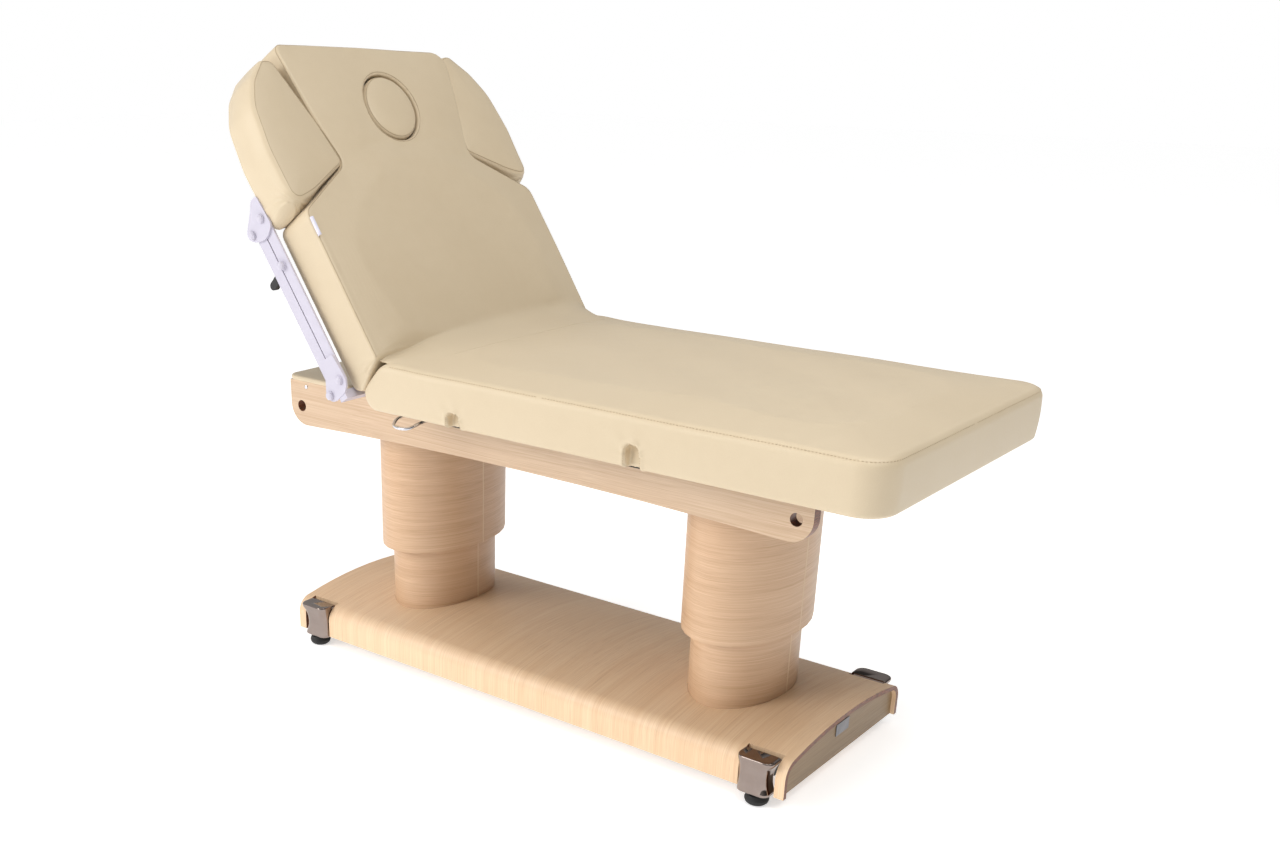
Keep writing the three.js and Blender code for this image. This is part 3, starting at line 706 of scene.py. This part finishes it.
def carried(moves_from, moves, points):
    """The filled cover's moves, spread to other points nearby."""
    tree = KDTree(len(moves_from))
    for i, spot in enumerate(moves_from):
        tree.insert(spot, i)
    tree.balance()
    out = np.zeros_like(points)
    for i, spot in enumerate(points):
        total = 0.0
        for _, index, distance in tree.find_n(spot, 5):
            share = 1 / (distance * distance + 9)
            out[i] += moves[index] * share
            total += share
        out[i] /= total
    return out


def cushion(name, shape, box, cell, held=None, cap=8.0, to_base=None):
    """A padded piece: the solid where shape is below nought, its cover filled out as cloth.

    shape works in the piece's own millimetres, box is its (low, high) corners and to_base turns
    its points into millimetres from the base's middle.
    """
    low_corner, high_corner = np.array(box[0], float), np.array(box[1], float)
    cell = cell if FINE else cell * 1.5
    count = np.maximum(2, np.ceil((high_corner - low_corner) / cell).astype(int)) + 1
    blank = blank_for(shape, low_corner, count, cell)
    points = settle_on(shape, mesh_points(blank.data), 3)
    move_points(blank.data, points / 1000)
    moved = None
    if FINE and held is not None:
        moved = blown_up(blank, shape, held, cap, cell * 1.5 / 1000)
    smooth = blank.modifiers.new("smooth", "SUBSURF")
    smooth.subdivision_type = "SIMPLE"
    smooth.levels = 1
    piece = evaluated_copy(blank, name)
    discard(blank)
    points = settle_on(shape, mesh_points(piece.data) * 1000, 2)
    if moved is not None:
        points = points + carried(moved[0], moved[1], points)
    if to_base is not None:
        points = to_base(points)
    dress(piece, "hide")
    move_points(piece.data, in_row(points))
    return outward(piece)


def blank_for(shape, corner, count, cell):
    """The surface of a block of small cells that fills the shape, one square to an outer face."""
    middles = np.stack(np.meshgrid(
        *[corner[axis] + cell * (np.arange(count[axis]) + 0.5) for axis in range(3)], indexing="ij",
    ), -1)
    filled = (shape(middles.reshape(-1, 3)) < 0).reshape(count)
    padded = np.pad(filled, 1)
    index = {}
    vertices, faces = [], []

    def vertex(place):
        if place not in index:
            index[place] = len(vertices)
            vertices.append(corner + cell * np.array(place))
        return index[place]

    sides = [
        ((1, 0, 0), ((1, 0, 0), (1, 1, 0), (1, 1, 1), (1, 0, 1))),
        ((-1, 0, 0), ((0, 0, 0), (0, 0, 1), (0, 1, 1), (0, 1, 0))),
        ((0, 1, 0), ((0, 1, 0), (0, 1, 1), (1, 1, 1), (1, 1, 0))),
        ((0, -1, 0), ((0, 0, 0), (1, 0, 0), (1, 0, 1), (0, 0, 1))),
        ((0, 0, 1), ((0, 0, 1), (1, 0, 1), (1, 1, 1), (0, 1, 1))),
        ((0, 0, -1), ((0, 0, 0), (0, 1, 0), (1, 1, 0), (1, 0, 0))),
    ]
    for step, corners in sides:
        neighbour = padded[
            1 + step[0]:padded.shape[0] - 1 + step[0],
            1 + step[1]:padded.shape[1] - 1 + step[1],
            1 + step[2]:padded.shape[2] - 1 + step[2],
        ]
        for i, j, k in np.argwhere(filled & ~neighbour):
            faces.append([vertex((int(i) + a, int(j) + b, int(k) + c)) for a, b, c in corners])
    mesh = bpy.data.meshes.new("blank")
    mesh.from_pydata(vertices, [], faces)
    relax_blank(mesh, 6)
    return link(bpy.data.objects.new("blank", mesh))


def relax_blank(mesh, times):
    """Evens out the stair steps of a block of cells."""
    edges = np.zeros(len(mesh.edges) * 2, int)
    mesh.edges.foreach_get("vertices", edges)
    edges = edges.reshape(-1, 2)
    points = mesh_points(mesh)
    degree = np.bincount(edges.ravel(), minlength=len(points)).astype(float)
    for _ in range(times):
        total = np.zeros_like(points)
        np.add.at(total, edges[:, 0], points[edges[:, 1]])
        np.add.at(total, edges[:, 1], points[edges[:, 0]])
        points = 0.5 * points + 0.5 * total / degree[:, None]
    move_points(mesh, points)


# ---- upholstery shapes -------------------------------------------------------------------------
# Each shape gives a signed distance in millimetres, below nought inside the cushion.
NOTCHES = ((-68.0, 32.0, 716.0), (379.0, 32.0, 731.0))  # x, width and top of the relief notches
HEAD_PROFILE = rounded_outline([
    (-246, 880, 0), (-268, 796, 10), (-314, 742, 16), (-333, 722, 12), (-326, 700, 16),
    (-300, 677, 22), (1000, 677, 0), (1000, 880, 0),
])


def crown(plan, height, reach):
    """How far a stuffed face stands up, growing inwards from the edge of its plan."""
    return height * (1 - np.exp(-np.clip(-plan, 0, 400) / reach))


def bell(value, width):
    """One at nought, falling away smoothly to either side."""
    return np.exp(-(value / width) ** 2)


def slow_waves(x, y, size, seed):
    """Gentle unevenness, about one millimetre either way."""
    return (
        np.sin(x / size + seed) * np.cos(y / (size * 0.8) - 1.3 * seed)
        + 0.5 * np.sin((x + 1.7 * y) / (size * 0.6) + 2.1 * seed)
    )


def mattress_shape(p):
    """Square at the head end, round at the foot, hollow over the hinge, two notches a side."""
    x, y, z = p.T
    radius = np.where(x > 300, 66.0, 24.0)
    qx = np.abs(x - MATTRESS_X) - MATTRESS_REACH + radius
    qy = np.abs(y) - HALF + radius
    outside = np.hypot(np.maximum(qx, 0), np.maximum(qy, 0))
    plan = np.minimum(np.maximum(qx, qy), 0) + outside - radius
    drop = np.clip((SEAM_Z - z) / 109, 0, 1)
    plan = plan - 2.5 * np.sin(math.pi * drop) + 3.0 * drop ** 3
    swell = crown(plan, 7.0, 70) + 3.0 * bell(x + 225, 45.0)
    top = z - (SEAM_Z + swell + 0.9 * slow_waves(x, y, 95, 0.4))
    body = soft_meet(plan, top, 17.0)
    body = soft_meet(body, 677.5 - z, 12.0)
    body = soft_meet(body, outline_distance(HEAD_PROFILE, x, z), 15.0)
    hollow = np.maximum(np.abs(y) - 228, x + 262)
    body = soft_meet(body, -hollow, 6.0)
    board = np.maximum.reduce([np.abs(y) - 337, x - 842, z - 687])
    body = soft_meet(body, -board, 3.0)
    for middle, width, crest in NOTCHES:
        across = x - middle
        round_top = np.hypot(across, np.maximum(z - (crest - width / 2), 0)) - width / 2
        slot = np.maximum(round_top, HALF - 20 - np.abs(y))
        rim = bell(round_top - 5, 4.5) * np.exp(-np.maximum(HALF - 16 - np.abs(y), 0) / 10)
        turn = np.arctan2(across, z - crest + 26)
        creases = np.sin(7 * turn + 0.8) * np.exp(-np.maximum(round_top, 0) / 30) * (z > crest - 26)
        body = body - 2.4 * rim - 1.3 * creases * (np.abs(y) > 345)
        body = soft_meet(body, -slot, 2.5)
    return body


BACK_OUTLINE = rounded_outline([
    (-34, -HALF, 20), (-34, HALF, 20), (351, HALF, 34), (453, 215, 30), (560, 246, 260),
    (722, 291, 36), (739, 0, 400), (750, -256, 20), (583, -238, 260), (459, -207, 30),
    (363, -HALF, 26),
])
FOOT_OF_BACK = np.array([
    (-12, 15), (0, 14), (20, 5), (45, -6), (62, -17), (74, -24), (86, -24), (96, -18), (106, -8),
], float)


def face_oval(s, y):
    """Distance from the rim of the rounded face opening."""
    along = s - FACE_S
    across = y - FACE_Y - FACE_SLANT * along
    reach = np.sqrt((along / FACE_LONG) ** 2 + (across / FACE_WIDE) ** 2)
    return (reach - 1) * (FACE_LONG + FACE_WIDE) / 2


def back_shape(p):
    s, y, n = p.T
    plan = outline_distance(BACK_OUTLINE, s, y)
    drop = np.clip(n / PAD, 0, 1)
    plan = plan - 2.2 * np.sin(math.pi * drop)
    headrest = 5.0 * np.clip((s - 430) / 150, 0, 1) ** 2
    front = -n - (crown(plan, 6.0, 55) + headrest + 0.8 * slow_waves(s, y, 80, 1.7))
    body = soft_meet(plan, front, 7.0)
    body = soft_meet(body, n - PAD, 7.0)
    cut = np.interp(n, FOOT_OF_BACK[:, 0], FOOT_OF_BACK[:, 1])
    at_side = np.clip((np.abs(y) - 232) / 20, 0, 1)
    body = soft_meet(body, at_side * cut + (1 - at_side) * (4 + 0.1 * n) - s, 9.0)
    # Pleats fan out from the seam's lower corner, where the cover is gathered.
    r = np.hypot(s - 20, n + 6)
    turn = np.arctan2(n + 6, s - 20)
    fan = bell(turn - 1.95, 0.42) * bell(r - 48, 30.0)
    edge = np.exp(-np.maximum(HALF - 14 - np.abs(y), 0) / 12)
    body = body + 2.6 * np.sin(21 * turn + 0.5 * np.sin(r / 15)) * fan * edge
    return soft_meet(body, -(face_oval(s, y) - 2.5), 6.0)


def plug_shape(p):
    s, y, n = p.T
    plan = face_oval(s, y) + 1.8
    front = -n - (crown(plan, 8.0, 18) + 6.0)
    return soft_meet(soft_meet(plan, front, 8.0), n - 88.0, 5.0)


def wing_outline(side):
    corners = [
        (462, 209, 16), (560, 227, 300), (712, 276, 20), (716, 306, 18), (668, 356, 80),
        (610, 388, 120), (510, 402, 160), (384, 398, 24), (400, 335, 260),
    ]
    return rounded_outline([(s, y * side, r) for s, y, r in corners])


WING_OUTLINES = {side: wing_outline(sign) for side, sign in SIDES}


def wing_shape(side):
    outline = WING_OUTLINES[side]

    def shape(p):
        s, y, n = p.T
        drop = np.clip(n / PAD, 0, 1)
        lower = np.clip((480 - s) / 90, 0, 1)
        plan = outline_distance(outline, s + 20 * drop * lower, y)
        outer = np.clip((np.abs(y) - 300) / 60, 0, 1)
        plan = plan - 10.0 * outer * np.sin(math.pi * drop ** 0.8) - 4.0 * (1 - outer) * drop
        front = -n - (crown(plan, 8.0, 32) + 0.5 * slow_waves(s, y, 50, 2.6))
        body = soft_meet(plan, front, 8.0)
        r = np.hypot(s - 386, np.abs(y) - 388)
        turn = np.arctan2(n - 4, 1.4 * (s - 386) - (np.abs(y) - 388))
        gathers = np.sin(13 * turn) * bell(r - 20, 26.0) * np.clip(n / 10, 0, 1)
        return soft_meet(body + 1.3 * gathers, n - PAD, 9.0)

    return shape


DECK_OUTLINE = rounded_outline([
    (-704, -251, 24), (-500, -251, 10), (-500, 251, 10), (-704, 251, 24),
])


def deck_shape(p):
    x, y, z = p.T
    plan = outline_distance(DECK_OUTLINE, x, y) - 1.0
    top = z - (683.0 + crown(plan, 3.5, 24))
    return soft_meet(soft_meet(plan, top, 5.0), 671.6 - z, 3.0)


def evenly(points, pitch, closed=False, count=None):
    """The same line with points a pitch apart, or with count points."""
    points = np.asarray(points, float)
    if closed:
        points = np.vstack([points, points[:1]])
    steps = np.linalg.norm(np.diff(points, axis=0), axis=1)
    run = np.concatenate([[0], np.cumsum(steps)])
    at = np.linspace(0, run[-1], count or max(2, int(run[-1] / pitch)) + 1)
    if closed:
        at = at[:-1]
    return np.stack([np.interp(at, run, points[:, axis]) for axis in range(3)], 1)


def lifted(tree, points, away, height):
    """Points dropped onto a finished surface, then raised off it by height."""
    out = []
    for spot in points:
        position, normal, _, _ = tree.find_nearest(Vector(spot))
        if normal.dot(Vector(away)) < -0.2:
            normal = -normal
        out.append(np.array(position + normal * height))
    return np.array(out)


def surface_tree(piece):
    """A search tree over a finished piece, in millimetres from the base's middle."""
    points = (mesh_points(piece.data) - [BASE_MIDDLE, 0, 0]) * 1000
    faces = [tuple(face.vertices) for face in piece.data.polygons]
    return BVHTree.FromPolygons([tuple(p) for p in points], faces)


def stitches(name, tree, line, away, pitch=7.0, length=4.6, radius=0.85):
    """A row of separate stitches along a line on a finished surface."""
    spots = evenly(line, pitch)
    profile = ((0, 0.35), (0.25, 1.0), (0.75, 1.0), (1, 0.35))  # along the stitch, share of radius
    sides = 5
    vertices, faces = [], []
    for spot, after in zip(spots, spots[1:]):
        ends = lifted(tree, [spot, spot + unit(after - spot) * length], away, 0.4)
        along = unit(ends[1] - ends[0])
        side = unit(np.cross(along, away))
        faces += ring_faces(len(profile), sides, len(vertices))
        for t, share in profile:
            centre = ends[0] + (ends[1] - ends[0]) * t
            vertices += ring_points(centre, side, np.cross(side, along), radius * share, sides)
    return new_piece(name, vertices, faces, "stitch")


# ---- upholstery pieces -------------------------------------------------------------------------
def fit(piece, body):
    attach(piece, body)


def bend_at(piece):
    """Bakes a piece's placing into its points; the piece does not bend at a joint."""
    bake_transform(piece)


def cut_off(piece, x, keep, name):
    """A copy of a piece, cut and capped at a plane across the bed. keep is the side that stays."""
    half = twin(piece)
    half.name = name
    half.data.name = name
    work = bmesh.new()
    work.from_mesh(half.data)
    cut = bmesh.ops.bisect_plane(
        work, geom=work.verts[:] + work.edges[:] + work.faces[:],
        plane_co=in_row([x, 0, 700])[0], plane_no=(keep, 0, 0), clear_inner=True, dist=1e-6,
    )
    rim = [e for e in cut["geom_cut"] if isinstance(e, bmesh.types.BMEdge)]
    copies = bmesh.ops.duplicate(work, geom=rim)["geom"]
    bmesh.ops.holes_fill(work, edges=[e for e in copies if isinstance(e, bmesh.types.BMEdge)])
    work.to_mesh(half.data)
    work.free()
    dress(half, "hide")
    return half


def held_mattress(p):
    x, y, z = p.T
    edge = np.maximum(np.abs(y) - 345, x - 850) / 20
    return np.clip(np.maximum.reduce([edge, (720 - z) / 20, (-230 - x) / 20]), 0, 1)


def make_mattress():
    whole = cushion(
        "mattress", mattress_shape, ((-345, -392, 668), (902, 392, 812)), 7.0, held_mattress, 9.0)
    pieces = []
    for name, keep, joint, pads in (
        ("seat_cushion", -1, "thigh_raise", ("seat_pad",)),
        ("leg_cushion", 1, "knee", ("thigh_pad", "calf_pad")),
    ):
        piece = cut_off(whole, SPLIT_X, keep, name)
        bend_at(piece)
        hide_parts(*pads)
        pieces.append(piece)
    discard(whole)
    return pieces


def make_mattress_seams(seat, leg):
    """Stitching along the mattress's top edge, split where the mattress is."""
    foot = MATTRESS_X + MATTRESS_REACH
    outline = rounded_outline([
        (-262, -HALF, 20), (foot, -HALF, 66), (foot, HALF, 66), (-262, HALF, 20),
    ])
    path = evenly(np.column_stack([outline, np.full(len(outline), SEAM_Z - 2)]), 12, True)
    path = path[(path[:, 0] > -255)]
    start = int(np.argmin(path[:, 0] + 10 * (path[:, 1] > 0)))
    path = np.roll(path, -start, axis=0)
    if path[0, 1] > 0:
        path = path[::-1]
    path = settle_on(mattress_shape, path + [0, 0, 2.0], 4)
    for name, piece, keep, joint in (
        ("seat_stitches", seat, path[:, 0] < SPLIT_X, "thigh_raise"),
        ("leg_stitches", leg, path[:, 0] > SPLIT_X, "knee"),
    ):
        tree = surface_tree(piece)
        for side, here in (("near", path[:, 1] < 0), ("far", path[:, 1] >= 0)):
            bend_at(stitches(f"{name}_{side}", tree, path[keep & here], (0, 0, 1)))


def make_notch_hems(seat, leg):
    """The stitched hem round each relief notch."""
    for (middle, width, crest), piece, joint, end in zip(
            NOTCHES, (seat, leg), ("thigh_raise", "knee"), ("seat", "leg")):
        tree = surface_tree(piece)
        half = width / 2 + 3.2
        arch = [(middle - half, 684.0)] + [
            (middle - half * math.cos(t), crest - width / 2 + half * math.sin(t))
            for t in np.linspace(0, math.pi, 15)
        ] + [(middle + half, 684.0)]
        for side, sign in SIDES:
            line = np.array([(x, sign * (HALF + 1), z) for x, z in arch])
            hem = stitches(f"{end}_notch_hem_{side}", tree, line, (0, sign, 0), 5.0, 3.2, 0.65)
            bend_at(hem)


def held_back(p):
    s, y, n = p.T
    plan = outline_distance(BACK_OUTLINE, s, y)
    rim = 26 - face_oval(s, y)
    return np.clip(np.maximum.reduce([(plan + 30) / 16, (n - 40) / 20, rim / 12]), 0, 1)


def fit_cushion(piece, body, pad):
    fit(piece, body)
    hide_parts(pad)


def make_backrest():
    pad = cushion(
        "backrest_cushion", back_shape, ((-34, -390, -22), (752, 390, 112)), 7.0,
        held_back, 8.0, on_back)
    fit_cushion(pad, "backrest", "back_pad")
    plug = cushion(
        "face_cushion", plug_shape, ((495, -72, -24), (675, 104, 96)), 5.0, to_base=on_back)
    fit_cushion(plug, "face_plug", "face_plug")
    return pad


def held_wing(p):
    s, y, n = p.T
    side = "near" if y.mean() < 0 else "far"
    plan = outline_distance(WING_OUTLINES[side], s, y)
    return np.clip(np.maximum((plan + 16) / 10, (n - 60) / 20), 0, 1)


def make_wings():
    for side, sign in SIDES:
        inner, outer = sorted((sign * 196, sign * 420))
        body = f"arm_rest_{side}"
        pad = cushion(
            f"wing_cushion_{side}", wing_shape(side), ((356, inner, -18), (732, outer, 110)), 6.0,
            held_wing, 6.0, on_back)
        fit_cushion(pad, body, f"arm_pad_{side}")
        # The welt is a dark seam cord: partly stitching, partly painted shade in the seam groove.
        rim = edge_line(wing_shape(side), WING_OUTLINES[side], 5.5)
        fit(tube_along(f"wing_welt_{side}", on_back(rim), 0.8), body)


def edge_line(shape, outline, inset):
    """A line round a cushion drawn along the backrest, inset from its outline, on its front."""
    outline = evenly(np.column_stack([outline, np.zeros(len(outline))]), 6, True)[:, :2]
    ahead = np.roll(outline, -1, axis=0) - np.roll(outline, 1, axis=0)
    normal = np.stack([ahead[:, 1], -ahead[:, 0]], 1)
    normal /= np.linalg.norm(normal, axis=1, keepdims=True)
    inside = outline_distance(outline, *(outline + normal * 2).T)
    normal = np.where(inside[:, None] < 0, normal, -normal)
    points = np.column_stack([outline + normal * inset, np.zeros(len(outline))])
    return settle_on(shape, points, 6, 3.0)


def make_back_seams():
    """The backrest's seam, open at the fold, and the seam cords round the face opening and plug;
    all are dark cords that stand partly for stitching and partly for painted shade in the seam
    grooves.
    """
    rim = edge_line(back_shape, BACK_OUTLINE, 1.6)
    keep = rim[:, 0] > 18
    rim = np.roll(rim, -int(np.argmax(~keep)), axis=0)
    rim = rim[rim[:, 0] > 18]
    gap = int(np.argmax(np.linalg.norm(np.diff(rim, axis=0), axis=1))) + 1
    if np.linalg.norm(rim[gap] - rim[gap - 1]) > 60:
        rim = np.roll(rim, -gap, axis=0)
    fit(tube_along("backrest_seam", on_back(rim), 1.0, closed=False), "backrest")
    turn = np.linspace(0, 2 * math.pi, 120, endpoint=False)
    for name, body, grow, shape in (
        ("face_rim", "backrest", 7.5, back_shape), ("plug_welt", "face_plug", -5.0, plug_shape),
    ):
        along = (FACE_LONG + grow) * np.cos(turn)
        across = FACE_Y + FACE_SLANT * along + (FACE_WIDE + grow) * np.sin(turn)
        ring = np.stack([FACE_S + along, across, np.full(len(turn), -8.0)], 1)
        fit(tube_along(name, on_back(settle_on(shape, ring, 6, 3.0)), 0.8), body)


def make_deck():
    pad = cushion("deck_cushion", deck_shape, ((-712, -258, 668), (-494, 258, 694)), 5.0)
    fit_cushion(pad, "top_frame", "deck_pad")


def smooth_step(low_edge, high_edge, value):
    t = np.clip((value - low_edge) / (high_edge - low_edge), 0, 1)
    return t * t * (3 - 2 * t)


def make_fold(backrest, seat):
    """The cover between the backrest and the seat.

    The seat's cover climbs a little way up the backrest and meets it in a crease, which is sharp
    and gathered on the near side and softer towards the far side.
    """
    back_tree, seat_tree = surface_tree(backrest), surface_tree(seat)
    fold = on_back([[0, 0, 0]])[0]
    up = np.array([-math.cos(RAISE), 0, math.sin(RAISE)])
    out = np.array([math.sin(RAISE), 0, math.cos(RAISE)])
    reach, half_steps = 96.0, 18
    across = np.linspace(-364, 364, 125)
    rows = []
    for y in across:
        base = np.array([fold[0], y, fold[2]])
        climb = 35.0 - 23.0 * smooth_step(120, 372, -y) - 8.0 * smooth_step(280, 372, y)
        ramp = reach - 50.0 * smooth_step(300, 371, abs(y))

        def on_backrest(along):
            hit = back_tree.ray_cast(Vector(base + up * along + out * 60), Vector(-out))[0]
            return np.array(hit) if hit else base + up * along

        def on_seat(along):
            hit = seat_tree.ray_cast(Vector(base + [along, 0, 70]), Vector((0, 0, -1)))[0]
            return np.array(hit) if hit else base + [along, 0, 0]

        upper = [on_backrest(a) for a in np.linspace(reach, climb, half_steps)]
        crease = upper[-1] + out * 1.2
        end = on_seat(ramp)
        size = climb / 35.0
        first = crease + np.array([0.27 * ramp + 12 * size, 0, -8 * size])
        second = end - np.array([0.48 * ramp, 0, 0]) + np.array([0, 0, 0.6])
        t = np.linspace(0, 1, half_steps + 5)[1:, None]
        lower = (
            (1 - t) ** 3 * crease + 3 * t * (1 - t) ** 2 * first
            + 3 * t * t * (1 - t) * second + t ** 3 * end)
        floor_line = np.array([on_seat(spot[0] - fold[0]) for spot in lower])
        lower[:, 2] = np.maximum(lower[:, 2], floor_line[:, 2] + 0.2)
        column = np.vstack([np.array(upper[:-1]), [crease], lower])
        count = len(column)
        away = np.linspace(0, 1, count)[:, None] * (np.array([0, 0, 1.0]) - out) + out
        from_crease = np.arange(count) - (half_steps - 1)
        near = bell(y + 372, 95.0)
        ripple = 1.5 * np.sin(from_crease * 1.45 + y / 19.0)
        folds = near * ripple * bell(from_crease, 6.0)
        sink = -1.6 * smooth_step(60, -200, y) * bell(from_crease, 1.4)
        column = column + away * (folds + sink)[:, None]
        soft = column.copy()
        for _ in range(int(2 + 24 * smooth_step(-240, 300, y))):
            soft[1:-1] = (soft[:-2] + 2 * soft[1:-1] + soft[2:]) / 4
        blend = 0.3 + 0.7 * smooth_step(-300, 0, y)
        column = column * (1 - blend) + soft * blend
        lift = 0.7 * np.sin(np.linspace(0, math.pi, count)) ** 0.3 - 0.5
        tuck = 3.0 * smooth_step(349, 364, abs(y))
        rows.append(column + away * (lift[:, None] - tuck))
    grid = np.array(rows)
    grid[1:-1] = (grid[:-2] + 2 * grid[1:-1] + grid[2:]) / 4
    under = grid - (out + np.array([0, 0, 1])) * 1.2
    vertices = np.vstack([grid.reshape(-1, 3), under.reshape(-1, 3)])
    piece = new_piece("fold_cover", vertices, sheet_faces(*grid.shape[:2]), "hide")
    line = np.array([0.882, 0, -0.471])
    start, end = in_row([fold - 70 * line, fold + 70 * line])
    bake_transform(piece)


def make_tag():
    """A small folded blank tag sewn into the backrest's near seam."""
    front = []
    for s in np.linspace(301, 344, 8):
        lean = (s - 322) * 0.03
        front += [
            (s, -377.5, 1.5), (s, -381.5 - lean, -4.0), (s, -380.5 - lean, -7.5), (s, -376, -9.0)]
    back = np.array(front) + [0, 0.8, 1.0]
    tag = new_piece("seam_tag", on_back(np.vstack([front, back])), sheet_faces(8, 4), "tag")
    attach(tag, "backrest")


# ---- small hard pieces -------------------------------------------------------------------------
def turned(name, profile, spot, axis, finish, sides=28):
    """A round piece: profile of (height along axis, radius) from the spot outwards."""
    axis = unit(np.array(axis, float))
    side = unit(np.cross(axis, [0.1, 0.9, 0.3]))
    lift = np.cross(axis, side)
    vertices = []
    for height, radius in profile:
        vertices += ring_points(np.array(spot) + axis * height, side, lift, radius, sides)
    return new_piece(name, vertices, ring_faces(len(profile), sides), finish)


PIVOTS = {
    "arm_base": ("backrest", [(18, 103), (2.5, 148.5)]),
    "arm_carrier": ("arm_rest", [(406, 107), (390.5, 152.5)]),
    "arm_lever": ("arm_front", [(297, 113)]),
}


def make_caps():
    """Domed plastic caps over the arm rests' pivots."""
    dome = [(0, 9.9), (2.6, 9.9), (3.2, 9.3)] + [
        (3.2 + 6.0 * math.sin(t), 8.6 * math.cos(t)) for t in np.linspace(0.1, 1.5, 8)]
    for side, sign in SIDES:
        for part, (body, spots) in PIVOTS.items():
            for i, (s, n) in enumerate(spots):
                centre = on_back([[s, sign * 406.7, n]])[0]
                cap = turned(f"{part}_cap_{side}_{i + 1}", dome, centre, (0, sign, 0), "white")
                fit(cap, body if body == "backrest" else f"{body}_{side}")


def make_rail_screws():
    head = [(0, 4.6), (0.6, 5.0), (1.4, 4.9), (2.2, 4.1), (2.8, 2.6), (3.0, 0.2)]
    for end, x_sign in ENDS:
        for side, sign in SIDES:
            spot = (x_sign * 646, sign * 246.6, 659)
            screw = turned(f"rail_screw_{side}_{end}", head, spot, (0, sign, 0), "chrome", 20)
            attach(screw, "top_frame")


def make_corner_covers():
    """Polished corner housings: flat top, bright rolled lip, drawn-in sides."""
    levels = [  # height, and how far the sides are drawn in there
        (109.0, 16.0), (109.0, 9.0), (108.9, 5.0), (108.5, 2.6), (107.4, 0.9), (105.6, 0.1),
        (103.0, 0.0), (99.5, 0.9), (96.0, 2.8), (91.0, 5.6), (85.0, 8.0), (76.0, 10.4),
        (64.0, 11.6), (52.0, 11.2), (42.0, 9.4), (34.0, 7.0), (30.0, 5.6), (28.0, 6.4),
        (28.0, 12.0),
    ]
    sides = 64
    rings = []
    for z, inset in levels:
        inner_x, outer_x, outer_y = 594 + 0.15 * inset, 677 - 1.25 * inset, 279 - 0.5 * inset
        plan = rounded_outline([
            (inner_x, 236, 0), (outer_x, 236, 0), (outer_x, outer_y, 18), (inner_x, outer_y, 18),
        ], 2.2)
        rings.append(evenly(np.column_stack([plan, np.full(len(plan), z)]), None, count=sides))
    for end, x_sign in ENDS:
        for side, y_sign in SIDES:
            name = f"corner_cover_{side}_{end}"
            vertices = np.vstack(rings) * [x_sign, y_sign, 1]
            shell = new_piece(
                f"polished_{name}", vertices, ring_faces(len(levels), sides), "gunmetal")
            fit(shell, "base")
            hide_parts(name)


def make_joint_strips():
    """The thin edge strips that close the veneer on the columns."""
    section = ((-0.4, -2.2), (0.35, -1.4), (0.35, 1.4), (-0.4, 2.2))
    for part, body, reach, low_z, high_z in (
        ("sleeve", "top_frame", 124, 280, 591), ("cover", "base", 107, 118, 445),
    ):
        for end, x in COLUMN_X:
            vertices = [(x + reach + dx, y + 2, z) for z in (low_z, high_z) for dx, y in section]
            strip = new_piece(
                f"column_{part}_{end}_strip", vertices, ring_faces(2, 4), "strip", smooth=False)
            fit(strip, body)


# ---- the whole bed -----------------------------------------------------------------------------
place_camera()
lay_floor()
light_studio()
dress_frame()
seat_cushion, leg_cushion = make_mattress()
make_mattress_seams(seat_cushion, leg_cushion)
make_notch_hems(seat_cushion, leg_cushion)
backrest_cushion = make_backrest()
make_back_seams()
make_fold(backrest_cushion, seat_cushion)
make_wings()
make_deck()
make_tag()
make_caps()
make_rail_screws()
make_corner_covers()
make_joint_strips()
